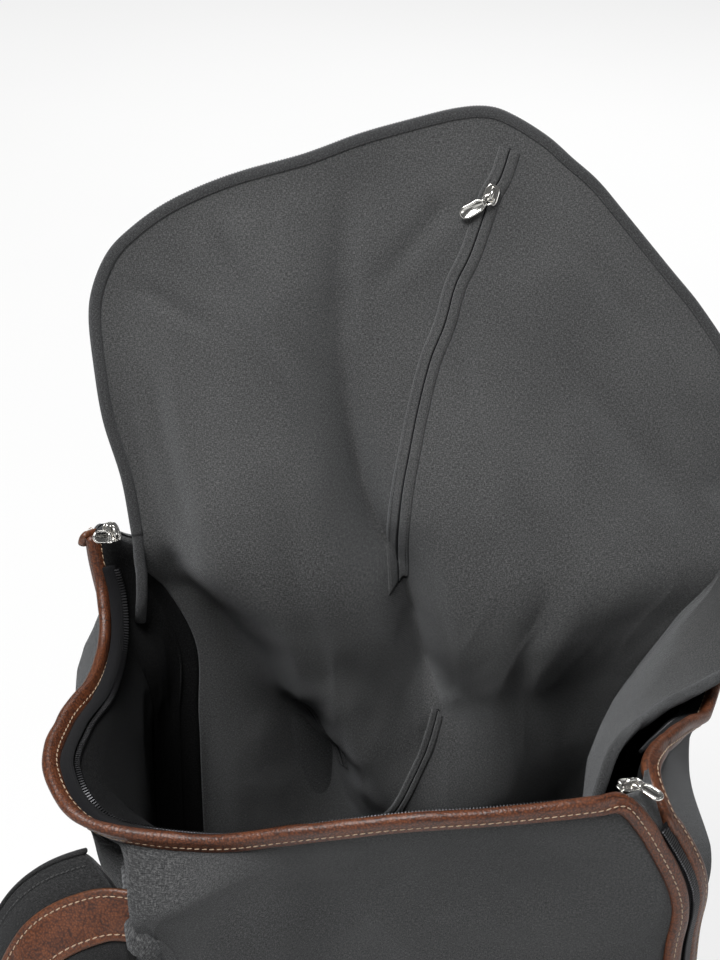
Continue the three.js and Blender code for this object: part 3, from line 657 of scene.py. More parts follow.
# ------------------------------------------------------------------ shader building
class Shader:
    """short ways to add and link shader nodes"""

    def __init__(self, tree):
        self.tree = tree

    def feed(self, node, values):
        """sockets are linked, anything else becomes the input's value"""
        for key, value in values.items():
            if isinstance(value, bpy.types.NodeSocket):
                self.tree.links.new(value, node.inputs[key])
            else:
                node.inputs[key].default_value = value

    def surface(self, values):
        self.feed(self.tree.nodes["Principled BSDF"], values)

    def add(self, kind, inputs=None, **properties):
        node = self.tree.nodes.new("ShaderNode" + kind)
        for key, value in properties.items():
            setattr(node, key, value)
        self.feed(node, inputs or {})
        return node

    def math(self, operation, *operands, clamp=False):
        inputs = dict(enumerate(operands))
        return self.add("Math", inputs, operation=operation, use_clamp=clamp).outputs[0]

    def add_up(self, a, b):
        return self.math("ADD", a, b)

    def times(self, a, b):
        return self.math("MULTIPLY", a, b)

    def wave(self, a):
        return self.math("SINE", a)

    def bars(self, a):
        """rounded ridges from a sine"""
        return self.math("ABSOLUTE", self.wave(a))

    def coords(self, uv=True):
        return self.add("TexCoord").outputs["UV" if uv else "Object"]

    def noise(self, co, scale, detail=2.0, stretch=None, rough=0.5):
        if stretch:
            co = self.add("Mapping", {"Vector": co, "Scale": stretch}).outputs[0]
        return self.add("TexNoise", {"Scale": scale, "Detail": detail, "Roughness": rough,
                                     "Vector": co}).outputs["Fac"]

    def mix(self, factor, a, b, kind="FLOAT"):
        first, out = (2, 0) if kind == "FLOAT" else (6, 2)
        node = self.add("Mix", data_type=kind)
        self.feed(node, {0: factor, first: a, first + 1: b})
        return node.outputs[out]

    def ramp(self, factor, *stops):
        """stops are (position, colour)"""
        node = self.add("ValToRGB", {0: factor})
        elements = node.color_ramp.elements
        while len(elements) < len(stops):
            elements.new(0.5)
        for i, (position, colour) in enumerate(stops):
            elements[i].position = position
            elements[i].color = colour if len(colour) == 4 else tuple(colour) + (1,)
        return node.outputs[0]

    def bump(self, height, distance, strength, base=None):
        inputs = {"Distance": distance, "Strength": strength, "Height": height}
        if base is not None:
            inputs["Normal"] = base
        return self.add("Bump", inputs).outputs[0]


def new_material(name):
    material = bpy.data.materials.new(name)
    material.use_nodes = True
    return material, Shader(material.node_tree)


# ------------------------------------------------------------------ materials
def melange(name, dark, mid, light, pitch=0.46, sheen=0.25, specular=0.18):
    """plain weave of mottled yarn; pitch is the yarn's, in mm"""
    material, sh = new_material(name)
    co = sh.coords()
    yarn, streak = 1 / (pitch * MM), 1 / (3.2 * pitch * MM)
    warp = sh.noise(co, 1.0, stretch=(yarn, streak, yarn), rough=0.6)
    weft = sh.noise(co, 1.0, stretch=(streak, yarn, yarn), rough=0.6)
    axes = sh.add("SeparateXYZ", {0: co}).outputs
    x, y = (sh.times(axis, math.pi / (pitch * MM)) for axis in axes[:2])
    # chequer that says which yarn is on top
    on_top = sh.math("GREATER_THAN", sh.times(sh.wave(x), sh.wave(y)), 0.0)
    top = sh.mix(on_top, warp, weft)
    under = sh.add_up(sh.times(warp, 0.22), sh.times(weft, 0.23))
    both = sh.add_up(sh.times(top, 0.55), under)
    blotch = sh.times(sh.math("SUBTRACT", sh.noise(co, 14.0, detail=3), 0.5), 0.10)
    tone = sh.add_up(both, blotch)
    weave = sh.mix(on_top, sh.bars(x), sh.bars(y))
    height = sh.add_up(weave, sh.times(top, 1.2))
    relief = sh.bump(height, distance=0.00022, strength=0.75)
    relief = sh.bump(sh.noise(co, 55.0, detail=4), distance=0.0012, strength=0.35, base=relief)
    sh.surface({
        "Base Color": sh.ramp(tone, (0.33, dark), (0.5, mid), (0.64, light)),
        "Normal": relief,
        "Roughness": 0.92,
        "Specular IOR Level": specular,
        "Sheen Weight": sheen,
        "Sheen Roughness": 0.45,
        "Sheen Tint": (0.75, 0.77, 0.8, 1)})
    return material


LEATHER_TONE = 0.62                 # darkens every leather colour


def leather(name, uv=True):
    """pebbled cognac leather, paler on its worn ridges"""
    material, sh = new_material(name)
    co = sh.coords(uv)
    jitter = sh.add("TexNoise", {"Scale": 420, "Vector": co}).outputs["Color"]
    jittered = sh.add("VectorMath", {0: jitter, 1: (0.0009, 0.0009, 0.0009), 2: co},
                      operation="MULTIPLY_ADD").outputs[0]
    cells = sh.add("TexVoronoi", {"Vector": jittered}, feature="SMOOTH_F1")
    sh.feed(cells, {"Scale": 1 / (1.25 * MM), "Smoothness": 0.45})
    pebble = sh.math("SUBTRACT", 1.0, sh.times(cells.outputs["Distance"], 1.25), clamp=True)
    fine = sh.noise(co, 2600, detail=3)
    big = sh.noise(co, 38, detail=3)
    mid = sh.noise(co, 160, detail=3)
    patches = sh.add_up(sh.times(big, 0.32), sh.times(mid, 0.26))
    tone = sh.add_up(sh.times(pebble, 0.42), patches)

    def shade(*rgb):
        return tuple(c * LEATHER_TONE for c in rgb) + (1,)

    colour = sh.ramp(tone, (0.28, shade(0.055, 0.015, 0.006)), (0.46, shade(0.145, 0.040, 0.013)),
                     (0.62, shade(0.225, 0.068, 0.022)), (0.8, shade(0.32, 0.112, 0.040)))
    # wear follows pointiness from 0.52 to 0.62 (inputs 1 and 2 are From Min and From Max)
    pointiness = sh.add("NewGeometry").outputs["Pointiness"]
    worn = sh.add("MapRange", {0: pointiness, 1: 0.52, 2: 0.62}).outputs[0]
    relief = sh.bump(pebble, distance=0.00035, strength=0.6)
    relief = sh.bump(fine, distance=0.00008, strength=0.5, base=relief)
    relief = sh.bump(mid, distance=0.0009, strength=0.35, base=relief)
    sh.surface({
        "Base Color": sh.mix(sh.times(worn, 0.35), colour, shade(0.36, 0.16, 0.08), "RGBA"),
        "Normal": relief,
        "Roughness": sh.add_up(0.36, sh.times(big, 0.2)),
        "Specular IOR Level": 0.5,
        "Coat Weight": 0.12,
        "Coat Roughness": 0.35})
    return material


def webbing(name, dark, light, pitch, uv=True, sheen=0.2, specular=0.5):
    """ribbed weave with zigzag ribs; pitch in mm"""
    material, sh = new_material(name)
    co = sh.coords(uv)
    axes = sh.add("SeparateXYZ", {0: co}).outputs
    x = sh.times(axes[0], math.pi / (pitch * MM))
    y = sh.times(axes[1 if uv else 2], math.pi / (pitch * 0.8 * MM))
    rib = sh.bars(sh.add_up(x, sh.times(sh.wave(y), 1.2)))
    tone = sh.add_up(sh.times(rib, 0.6), sh.times(sh.noise(co, 900), 0.4))
    sh.surface({
        "Base Color": sh.ramp(tone, (0.2, dark), (0.8, light)),
        "Normal": sh.bump(rib, distance=0.0003, strength=0.8),
        "Roughness": 0.85,
        "Sheen Weight": sheen,
        "Specular IOR Level": specular})
    return material


def thread(name, dark, light):
    material, sh = new_material(name)
    co = sh.coords()
    twist = sh.add("TexWave", {"Scale": 500, "Vector": co}).outputs["Fac"]
    sh.surface({
        "Base Color": sh.ramp(sh.noise(co, 1500), (0.3, dark), (0.7, light)),
        "Normal": sh.bump(twist, distance=0.00015, strength=0.6),
        "Roughness": 0.62,
        "Sheen Weight": 0.3})
    return material


def metal(name, colour, rough):
    """lightly blotched and brushed metal"""
    material, sh = new_material(name)
    co = sh.coords(uv=False)
    colour = (*colour, 1)
    dull = tuple(c * 0.875 for c in colour)
    brushed = sh.noise(co, 2400, detail=3, stretch=(1, 1, 6))
    variation = sh.times(sh.math("SUBTRACT", brushed, 0.5), 0.22)
    sh.surface({
        "Base Color": sh.ramp(sh.noise(co, 260, detail=4), (0.3, dull), (0.7, colour)),
        "Roughness": sh.add_up(rough, variation),
        "Metallic": 1.0,
        "Normal": sh.bump(brushed, distance=0.00004, strength=0.35)})
    return material


def fibre_board(name):
    material, sh = new_material(name)
    grain = sh.noise(sh.coords(uv=False), 700, detail=4)
    sh.surface({
        "Base Color": sh.ramp(grain, (0.3, (0.01, 0.01, 0.01)), (0.7, (0.03, 0.03, 0.03))),
        "Normal": sh.bump(grain, distance=0.0003, strength=0.5),
        "Roughness": 0.8})
    return material


CLOTH = melange("cloth_melange", (0.016, 0.0163, 0.017), (0.047, 0.0475, 0.0485),
                (0.112, 0.113, 0.113))
LINING = melange("lining_melange", (0.022, 0.0223, 0.023), (0.062, 0.0625, 0.063),
                 (0.135, 0.136, 0.135))
# darker copy of the lining cloth: painted shade for the lining inside the mouth and on the floor, with its sheen and
# specular turned down
LINING_PAINTED_SHADE = melange("lining_painted_shade", (0.003, 0.0031, 0.0033), (0.008, 0.0081, 0.0084),
                       (0.019, 0.0192, 0.019), sheen=0.02, specular=0.06)
BINDING = melange("binding_melange", (0.014, 0.0143, 0.015), (0.042, 0.0425, 0.0435),
                  (0.098, 0.099, 0.1), pitch=0.42)
# darker copy of the body cloth: painted shade for the shoulder-strap pads and their edges, which lie in shadow
STRAP_CLOTH_PAINTED_SHADE = melange("strap_melange", (0.006, 0.0061, 0.0064), (0.019, 0.0192, 0.0197),
                      (0.05, 0.0503, 0.05), sheen=0.1)
LEATHER = leather("leather_cognac")
LEATHER_FLAT = leather("leather_cognac_flat", uv=False)     # for CAD pieces without UVs
TAPE = webbing("zip_tape_woven", (0.004, 0.004, 0.005), (0.014, 0.014, 0.0155), pitch=0.7,
               sheen=0.03, specular=0.12)
WEBBING = webbing("webbing_woven", (0.008, 0.008, 0.009), (0.035, 0.035, 0.038), pitch=1.6)
SPACER = webbing("spacer_mesh", (0.007, 0.007, 0.008), (0.03, 0.03, 0.032), pitch=2.4)
THREAD = thread("thread_tan", (0.30, 0.20, 0.12), (0.50, 0.37, 0.25))
THREAD_DARK = thread("thread_dark", (0.006, 0.006, 0.007), (0.02, 0.02, 0.021))
TEETH = metal("teeth_gunmetal", (0.10, 0.10, 0.105), rough=0.38)
SILVER = metal("silver_plate", (0.80, 0.785, 0.75), rough=0.2)
BOARD = fibre_board("board_fibre")

SLOT_MATERIALS = {
    "body_fabric": (CLOTH, BINDING, STRAP_CLOTH_PAINTED_SHADE, THREAD_DARK),
    "lining_fabric": (LINING, LINING_PAINTED_SHADE),
    "leather_trim": (LEATHER, THREAD),
    "zip_tape": (TAPE,),
    "zip_teeth": (TEETH,),
    "silver_hardware": (SILVER,),
    "webbing": (WEBBING,)}
SLOT_OF = {m.name: slot for slot, group in SLOT_MATERIALS.items() for m in group}


# ------------------------------------------------------------------ what moves with what
def give_slot(piece, replaced, slot):
    """slot defaults to that of the piece's first material"""
    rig.slot(piece, slot or SLOT_OF[piece.data.materials[0].name])
    if replaced:
        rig.replaces(piece, *replaced)


def attach(piece, body="root", *replaced, slot=None):
    give_slot(piece, replaced, slot)
    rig.ride(piece, body)


def attach_hinged(piece, *replaced, slot=None, below=26.0, above=30.0):
    """blend from the body to the lid, from `below` the hinge to `above` it"""
    give_slot(piece, replaced, slot)
    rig.blend(piece, "root", "lid", start=tuple((HINGE - vec(0, 0, below)) * MM),
             end=tuple((HINGE + LID_UP * above) * MM))


# ------------------------------------------------------------------ walls
def wall_fold(u, v):
    """how far the cloth stands off the plain wall"""
    u = np.mod(u, COLUMNS)
    d = 2.6 * folds(u * 0.55 + v * 1.3, v * 3.1, 3) * ease(0.02, 0.2, v)
    d = d + 1.3 * folds(u * 1.3 - v * 3.5, v * 6.5, 11) * ease(0.1, 0.5, v)
    # slump fold low on the wall, with a hollow above it
    crest = np.exp(-((v - 0.17 - 0.03 * np.sin(u * 1.1)) / 0.035) ** 2)
    hollow = np.exp(-((v - 0.235 - 0.02 * np.sin(u * 0.9 + 1)) / 0.03) ** 2)
    d = d + 2.0 * crest * (0.4 + 0.6 * noise(u * 0.7, v * 2, 21))
    d = d - 1.8 * hollow * (0.4 + 0.6 * noise(u * 0.6, v * 2, 22))
    # calm beside the zip runs, at the rim and behind the outer pocket
    for column in (RUN_RIGHT, RUN_LEFT):
        d = d * (0.12 + 0.88 * ease(0.45, 1.1, np.abs(u - column)))
    d = d * (1 - 0.85 * ease(0.9, 1.0, v))
    behind = ease(11.4, 12.2, u) * (1 - ease(15.9, 16.7, u)) * (1 - ease(0.58, 0.7, v))
    d = d * (1 - 0.8 * behind)
    # the right gusset swells out, and the left gusset bulges under its rim
    d = d + 10.0 * np.exp(-((u - 8.1) / 1.15) ** 4 - ((v - 0.76) / 0.15) ** 2)
    bulge = np.interp(u, [17.35, 17.75, 18.2, 19, 20, 21, 22, 22.8],
                      [0, 12, 17, 22, 20, 14, 8, 0])
    return d + bulge * ease(0.58, 0.84, v) * (1 - ease(0.94, 1.0, v))


def overlap(u, v):
    """how far towards -Y the near wall laps over the root of the left strap"""
    p = wall(u, v)
    x, z = p[..., 0], p[..., 2]
    front = np.interp(x, [-172, -160, -150, -140, -131, -95, -60, -25],
                      [-60, -94, -112, -125, -130, -128, -119, -104])
    lower = np.interp(x, [-172, -150, -140, -131, -120, -100, -60, -30],
                      [445, 400, 372, 345, 325, 300, 262, 235])
    above = (z - lower) * 0.72
    mask = ease(-12, 5, above) * (1 - ease(34, 100, above)) * (1 - ease(0.93, 1.0, v))
    mask = mask * (1 - ease(-60, -20, x)) * (p[..., 1] < -40)
    return np.maximum(0.0, p[..., 1] - front) * mask


def cloth(u, v, h):
    """h outside the real cloth surface, folds and overlap included"""
    u, v = np.broadcast_arrays(np.asarray(u, float), np.asarray(v, float))
    return off_wall(u, v, wall_fold(u, v) + h) + vec(0, -1, 0) * overlap(u, v)[..., None]


def wall_panel(name, u0, u1, node, over_rim=6.0):
    u = np.linspace(u0, u1, int((u1 - u0) * 16 / COARSE) + 1)
    t = np.linspace(0, 1, 110 // COARSE + 1)
    v = np.where(t < 0.5, t * 1.2, 0.6 + (t - 0.5) * 0.8)       # closer rows near the rim
    grid = cloth(*np.meshgrid(u, v, indexing="ij"), 0.0)
    # a few rows on, up into the rim binding
    extra = [(wall(u, 1.0) + rim_up(u) * k)[:, None] for k in (2.0, 4.0, over_rim)]
    attach(sheet(name, np.concatenate([grid] + extra, 1), 2.4, CLOTH), "root", node)


def wall_panels():
    wall_panel("shell_back_panel", SEAM_BACK_LEFT - COLUMNS, SEAM_BACK_RIGHT, "back_panel")
    wall_panel("shell_right_gusset", SEAM_BACK_RIGHT, SEAM_FRONT_RIGHT, "right_gusset")
    wall_panel("shell_front_panel", SEAM_FRONT_RIGHT, SEAM_FRONT_LEFT, "front_panel", 1.0)
    wall_panel("shell_left_gusset", SEAM_FRONT_LEFT, SEAM_BACK_LEFT, "left_gusset")


def seam_welts():
    under_run = RUN_END - 0.06
    for name, column, top in (("seam_back_right", SEAM_BACK_RIGHT, under_run),
                              ("seam_front_right", SEAM_FRONT_RIGHT, 0.985),
                              ("seam_front_left", SEAM_FRONT_LEFT, under_run),
                              ("seam_back_left", SEAM_BACK_LEFT, 0.985)):
        v = np.linspace(0.0, top, 120)
        out = wall_normal(column, v)
        attach(sweep(name, cloth(column, v, 0.3), out, oval(1.3, 2.0), CLOTH))
        for tag, side in (("a", -1), ("b", 1)):
            path = cloth(beside(column, v, side * 5.0), v, 0.25)
            attach(stitches(name + "_stitch" + tag, path, out, THREAD_DARK,
                            size=(2.5, 0.6, 0.4), pitch=3.4))


def base():
    """flat sole with a turned-up rounded rim, and a leather welt round it"""
    count = 160
    u = np.linspace(0, COLUMNS, count, endpoint=False)
    ring = wall(u, 0)
    out = wall_normal(u, 0.02)
    plans = []
    # spread from the centre, z
    for spread, z in ((0.0, 1.2), (0.3, 0.9), (0.62, 0.35), (0.9, 0.02), (0.955, 0.0), (0.985, 0.5)):
        plans.append((CENTRE + (ring[:, :2] - CENTRE) * (0.02 + 0.98 * spread), z))
    # stand-off from the wall, z
    for off, z in ((0.6, 2.0), (0.9, 4.6)):
        plans.append((ring[:, :2] + out[:, :2] * off, z))
    rows = [np.column_stack([plan, np.full(count, z)]) for plan, z in plans]
    attach(sheet("base_sole", np.stack(rows, 1), 1.2, CLOTH, closed=True), "root", "base_panel")
    welt = ring + out * 0.9
    welt[:, 2] = 6.0
    # two points past the start close the loop
    attach(sweep("base_welt", np.vstack([welt, welt[:2]]), np.vstack([out, out[:2]]),
                 oval(1.7, 1.7), LEATHER))


# ------------------------------------------------------------------ inner cloth surface
# (the lid's inside and the far wall's inside are one sheet)
FAR_U = np.linspace(11.4, 16.6, 400)
FAR_X = wall(FAR_U, 1.0)[:, 0]


def far_u(x):
    """column of the far rim at x"""
    return np.interp(np.asarray(x, float), FAR_X[::-1], FAR_U[::-1])


def far_v(z):
    heights = [3.4, 20, 110, 215, 300, 358, 423]
    return np.interp(np.asarray(z, float), heights, [k / 6 for k in range(7)])


# heights of the hanging cloth: s, w, h
CLOTH_HEIGHTS = np.array([
    (-60, 205, 1), (-20, 212, 0), (30, 222, 2), (60, 212, 3), (-168, 169, 0), (-139, 193, 0),
    (102, 206, 1),
    (-130, 160, 2), (-95, 175, 6), (-64, 175, 6), (-12, 175, 4), (30, 166, 4), (80, 170, 6),
    (120, 160, 3),
    (-160, 130, 2), (-115, 130, 12), (-88, 130, 18), (-60, 130, 17), (-16, 132, 9), (18, 127, 8),
    (60, 130, 11), (110, 130, 7), (150, 120, 3),
    (-160, 90, 2), (-122, 90, 17), (-88, 90, 29), (-56, 92, 28), (-12, 92, 17), (8, 88, 14),
    (40, 90, 19), (90, 90, 15), (150, 90, 6), (185, 90, 1),
    (-158, 50, 0), (-142, 48, 12), (-112, 50, 31), (-82, 50, 40), (-50, 52, 38), (-10, 46, 29),
    (8, 50, 28), (40, 50, 33), (90, 50, 27), (150, 50, 11), (186, 50, 2),
    (-155, 18, -2), (-138, 20, 10), (-122, 20, 29), (-90, 20, 43), (-56, 20, 43), (-6, 20, 37),
    (10, 20, 38), (40, 20, 43), (90, 20, 37), (150, 20, 20), (182, 12, 12),
    (-152, -10, -2), (-138, -10, 0), (-124, -10, 26), (-95, -10, 42), (-52, -10, 44),
    (14, -12, 42), (34, -10, 46), (90, -10, 45), (140, -10, 32), (182, -14, 18),
    (-150, -45, -2), (-130, -45, 0), (-118, -45, 18), (-92, -42, 41), (-54, -42, 44),
    (-24, -42, 42), (36, -46, 46), (60, -42, 50), (104, -40, 48), (150, -40, 34), (182, -45, 28),
    (-150, -80, 0), (-130, -76, 0), (-114, -70, 12), (-92, -72, 35), (-62, -76, 40),
    (-30, -78, 38), (0, -80, 36), (52, -80, 40), (78, -80, 46), (110, -80, 44), (150, -80, 32),
    (182, -80, 30),
    (-150, -110, 0), (-122, -104, 0), (-104, -90, 14), (-86, -98, 28), (-60, -106, 36),
    (-24, -108, 38), (4, -106, 34), (34, -112, 32), (56, -108, 34), (80, -108, 42),
    (110, -106, 40), (150, -106, 28), (182, -110, 26),
    (-96, -114, 0), (-74, -122, 3), (-110, -140, 0), (-58, -126, 22), (-36, -134, 38),
    (-6, -136, 40), (26, -140, 38), (56, -140, 44), (100, -140, 42), (150, -140, 24),
    (182, -140, 20),
    (-60, -142, 2), (-46, -152, 4), (-34, -158, 26), (-14, -166, 38), (14, -176, 42),
    (60, -180, 48), (110, -180, 34), (150, -180, 14), (182, -180, 10),
    (-100, -180, 0), (-44, -178, 2), (-20, -196, 14),
    (-100, -240, 0), (0, -240, 26), (60, -240, 28), (120, -240, 8), (-100, -320, 0),
    (0, -320, 0), (100, -320, 0)], float)
# valley between the cloth's two lobes: s, w, depth, spread
VALLEY = np.array([
    (-38, 200, 3, 16), (-41, 150, 8, 15), (-41, 110, 17, 13), (-37, 74, 29, 11), (-31, 42, 37, 9.5),
    (-21, 10, 42, 9), (-6, -16, 45, 9), (11, -50, 45, 9), (28, -82, 34, 9), (40, -104, 8, 10)],
    float)
# straight creases: start, end, depth, width, length of the fade at each end
CREASES = [
    ((-110, 178), (-70, 108), 3.6, 5.5, 18), ((-148, 96), (-128, 10), 3.0, 6.0, 22),
    ((-40, 190), (-40, 128), 2.4, 9.0, 22), ((62, 30), (110, -92), 3.0, 8.0, 30),
    ((96, 96), (160, 18), 2.6, 9.0, 30), ((-118, 128), (-152, 150), 2.0, 5.0, 12),
    ((-74, 40), (-60, -60), 2.6, 9.0, 26), ((24, 118), (44, 40), 2.0, 7.0, 22),
    ((128, 128), (96, 170), 2.2, 7.0, 16), ((20, 196), (-18, 150), 1.6, 6.0, 14)]


def in_chunks(function, s, w):
    """function of (n, 2) points over grids s, w, in chunks that spare memory"""
    s, w = np.broadcast_arrays(np.asarray(s, float), np.asarray(w, float))
    points = np.stack([s.ravel(), w.ravel()], -1)
    done = [function(points[i:i + 4000]) for i in range(0, len(points), 4000)]
    return np.concatenate(done).reshape(s.shape)


def squared_distances(points, others):
    return ((points[:, None] - others[None]) ** 2).sum(-1)


def valley_depth(points):
    t = np.linspace(0, 1, 260)
    station = t * (len(VALLEY) - 1)
    depths = np.interp(station, np.arange(len(VALLEY)), VALLEY[:, 2])
    spreads = np.interp(station, np.arange(len(VALLEY)), VALLEY[:, 3])
    r2 = squared_distances(points, spline(VALLEY[:, :2], t))
    k = r2.argmin(1)
    d = np.sqrt(r2[np.arange(len(k)), k])
    g = spreads[k]
    sharp = np.exp(-np.sqrt(d * d + 6.0) / g) / np.exp(-np.sqrt(6.0) / g)
    return depths[k] * (0.55 * sharp + 0.45 * np.exp(-(d / (1.9 * g)) ** 2))


def plate_kernel(r2):
    return 0.5 * r2 * np.log(np.maximum(r2, 1e-9))


def fit_plate(points, heights, smoothing):
    """thin-plate weights, then a constant and two slopes"""
    n = len(points)
    a = np.zeros((n + 3, n + 3))
    a[:n, :n] = plate_kernel(squared_distances(points, points)) + np.eye(n) * smoothing
    a[:n, n] = 1
    a[:n, n + 1:] = points
    a[n, :n] = 1
    a[n + 1:, :n] = points.T
    return np.linalg.solve(a, np.concatenate([heights, [0, 0, 0]]))


PLATE_POINTS = CLOTH_HEIGHTS[:, :2] / 100.0
PLATE = fit_plate(PLATE_POINTS, CLOTH_HEIGHTS[:, 2], smoothing=0.0006)


def plate_height(points):
    points = points / 100.0
    kernel = plate_kernel(squared_distances(points, PLATE_POINTS))
    return kernel @ PLATE[:-3] + PLATE[-3] + points @ PLATE[-2:]


def crease_height(s, w):
    """each crease is a groove with a soft ridge on either side"""
    total = 0.0
    for start, end, depth, width, fade in CREASES:
        start = np.array(start, float)
        line = np.array(end, float) - start
        length = np.hypot(*line)
        line = line / length
        along = (s - start[0]) * line[0] + (w - start[1]) * line[1]
        across = -(s - start[0]) * line[1] + (w - start[1]) * line[0]
        ends = ease(-fade, fade, along) * ease(length + fade, length - fade, along)
        ridge = np.exp(-((np.abs(across) - 2.1 * width) / (1.3 * width)) ** 2)
        total = total - depth * ends * np.exp(-(across / width) ** 2) + 0.45 * depth * ends * ridge
    return total


def fine_folds(s, w):
    return (crease_height(s, w) + 1.5 * folds(s / 46 + w / 150, w / 110 - s / 300, 31)
            + 0.8 * folds(s / 23 + 4, w / 60 + s / 90, 37) + 0.35 * layered_noise(s / 12, w / 16, 41))


LID_EDGE_LINE = edge_sw(np.linspace(0, 1, 300), 0)


def edge_distance(points):
    """distance to the lid's bound edge; large where there is none"""
    s, w = points[:, 0], points[:, 1]
    near = np.sqrt(squared_distances(points, LID_EDGE_LINE).min(1))
    left = np.minimum(near + 60 * ease(150, 182, s), s - LID_S0)
    return np.where(w < LID_FOOT, left, near + 40 * ease(38, 2, w) * ease(120, 175, s))


def cloth_height(s, w):
    """height of the inner cloth, let down at the bound edge"""
    held = ease(1.0, 30.0, in_chunks(edge_distance, s, w))
    h = in_chunks(plate_height, s, w) - in_chunks(valley_depth, s, w)
    h = (h + fine_folds(s, w)) * held
    # never below the panel where the handle's patches are
    off = np.minimum(np.maximum(np.abs(s + PATCH_S) - 15, 0),
                     np.maximum(np.abs(s - PATCH_S) - 15, 0))
    off = np.hypot(off, np.maximum(np.abs(w - PATCH_MID_W) - 24, 0))
    k = ease(14, 0, off)
    return h * (1 - k) + np.maximum(h, 0.4) * k


def rim_x(s):
    return HINGE[0] + np.clip(s, LID_S0, LID_S1)


def inner(s, w, lift=0.0):
    """the inner cloth's surface: on the lid above the hinge, on the far wall below it"""
    s, w = np.broadcast_arrays(np.asarray(s, float), np.asarray(w, float))
    h = cloth_height(s, w)
    on_lid = ease(-34, 8, w)[..., None]
    u = far_u(rim_x(s))
    v = far_v(HINGE[2] + np.minimum(w, -3))
    surface = lid_at(s, w, 3.0) * on_lid + off_wall(u, v, -9.5) * (1 - on_lid)
    direction = unit(LID_IN * on_lid - wall_normal(u, v) * (1 - on_lid))
    return surface + direction * (h + lift)[..., None]


# ------------------------------------------------------------------ lid cloths
LID_COLS = 230 // COARSE


def lid_grid(w_below, rows):
    """s and w grids: straight rows at w_below, then the lid's patch"""
    a = np.linspace(0, 1, LID_COLS + 1)
    panel = lid_patch(*np.meshgrid(a, np.linspace(0, 1, rows + 1), indexing="ij"))
    s, w = np.meshgrid(LID_S0 + (LID_S1 - LID_S0) * a, w_below, indexing="ij")
    return np.concatenate([s, panel[..., 0]], 1), np.concatenate([w, panel[..., 1]], 1)


def lid_inner_cloth():
    rows = 120 // COARSE
    s, w = lid_grid(np.linspace(-345, LID_FOOT, rows + 1)[:-1], rows)
    grid = inner(s, w)
    flip = points_away(grid, LID_COLS // 2, rows + 40 // COARSE, LID_IN)
    piece = sheet("lid_inner_cloth", grid, 0.9, LINING, flip=flip, uv=np.stack([s, w], -1))
    attach_hinged(piece, "lid_lining", "lid_pocket_bag", "lid_pocket_zip_tape")


def lid_outer_cloth():
    """outer cloth of the lid, carried down onto the far wall's top edge"""
    s, w = lid_grid(np.linspace(-9, LID_FOOT, 11)[:-1], 110 // COARSE)
    h = cloth_height(s, w)
    # the inner cloth's swell shows less here, and not round the handle's patches
    from_patches = np.minimum(np.hypot(s + PATCH_S, (w - PATCH_MID_W) / 1.1),
                              np.hypot(s - PATCH_S, (w - PATCH_MID_W) / 1.1))
    swell = 0.35 * h * ease(28, 60, from_patches) * ease(0, 50, w)
    h = -3.0 + np.where(h < 0, h, swell)
    on_lid = ease(-6, 12, w)[..., None]
    v = far_v(np.minimum(HINGE[2] + w, 422.5))
    on_wall = off_wall(far_u(rim_x(s)), v, 0.8)
    on_wall = on_wall + vec(0, 0, 1) * np.maximum(w + 5.5, 0)[..., None]
    grid = lid_at(s, w, h) * on_lid + on_wall * (1 - on_lid)
    flip = points_away(grid, LID_COLS // 2, 60 // COARSE, -LID_IN)
    piece = sheet("lid_outer_cloth", grid, 1.0, CLOTH, flip=flip, uv=np.stack([s, w], -1))
    attach_hinged(piece, "lid_panel", below=5)


def lid_fold_seam():
    """cord where the lid's outer cloth joins the far wall, and the stitches under it"""
    u = np.linspace(11.62, 15.96, 120)
    attach(sweep("lid_fold_seam", off_wall(u, far_v(419.5), 1.6), wall_normal(u, 0.99),
                 oval(1.0, 1.9), CLOTH))
    attach(stitches("lid_fold_stitch", off_wall(u, far_v(414.5), 0.4), wall_normal(u, 0.98),
                    THREAD_DARK, size=(2.5, 0.6, 0.45), pitch=3.4, lift=0.1))


# ------------------------------------------------------------------ bound edge of the lid
BOUND_PROFILE = oval(2.9, 3.6, 16, 2.6)
EDGE_T = np.linspace(0, 1, 420 // COARSE)
EDGE_PATH = edge_at(EDGE_T, -0.9, 1.0)
# the left end runs on down into the mouth: offsets from the edge's end
LEFT_TAIL = [(0.3, -1.2, -7), (0.5, -3.4, -15), (1.5, -6, -24), (1.0, -7.5, -38), (-1.0, -7.5, -56)]
# the right end turns in under the right rim, towards the near corner
RIGHT_TAIL = np.array([
    (199, 100, 419), (203, 84, 402), (199, 64, 389), (187, 44, 385), (169, 27, 386),
    (150, 13, 386), (138, -3, 390), (126, -19, 394), (115, -36, 394), (108, -50, 385),
    (103, -58, 368), (101, -62, 350)], float)
FINE_STITCH = dict(size=(2.4, 0.6, 0.45), pitch=3.2)


def lid_binding():
    attach(sweep("lid_edge_binding_cloth", EDGE_PATH, -LID_IN, BOUND_PROFILE, BINDING),
           "lid", "lid_edge_binding")
    path = np.vstack([EDGE_PATH[1], EDGE_PATH[0], EDGE_PATH[0] + np.array(LEFT_TAIL)])
    attach_hinged(sweep("lid_edge_tail_left", path, -LID_IN, BOUND_PROFILE * 0.93, BINDING),
                  below=20, above=8)
    path = spline(np.vstack([EDGE_PATH[-1:], RIGHT_TAIL]), np.linspace(0, 1, 110))
    normals = unit(vec(120.0, 60.0, 330.0) - path) * 0.6 + vec(0, -0.5, 0.4)
    normals[:6] = LID_IN
    smooth_directions(normals, 12)
    attach_hinged(sweep("lid_edge_tail_right", path, normals, BOUND_PROFILE * 0.93, BINDING),
                  below=22, above=8)


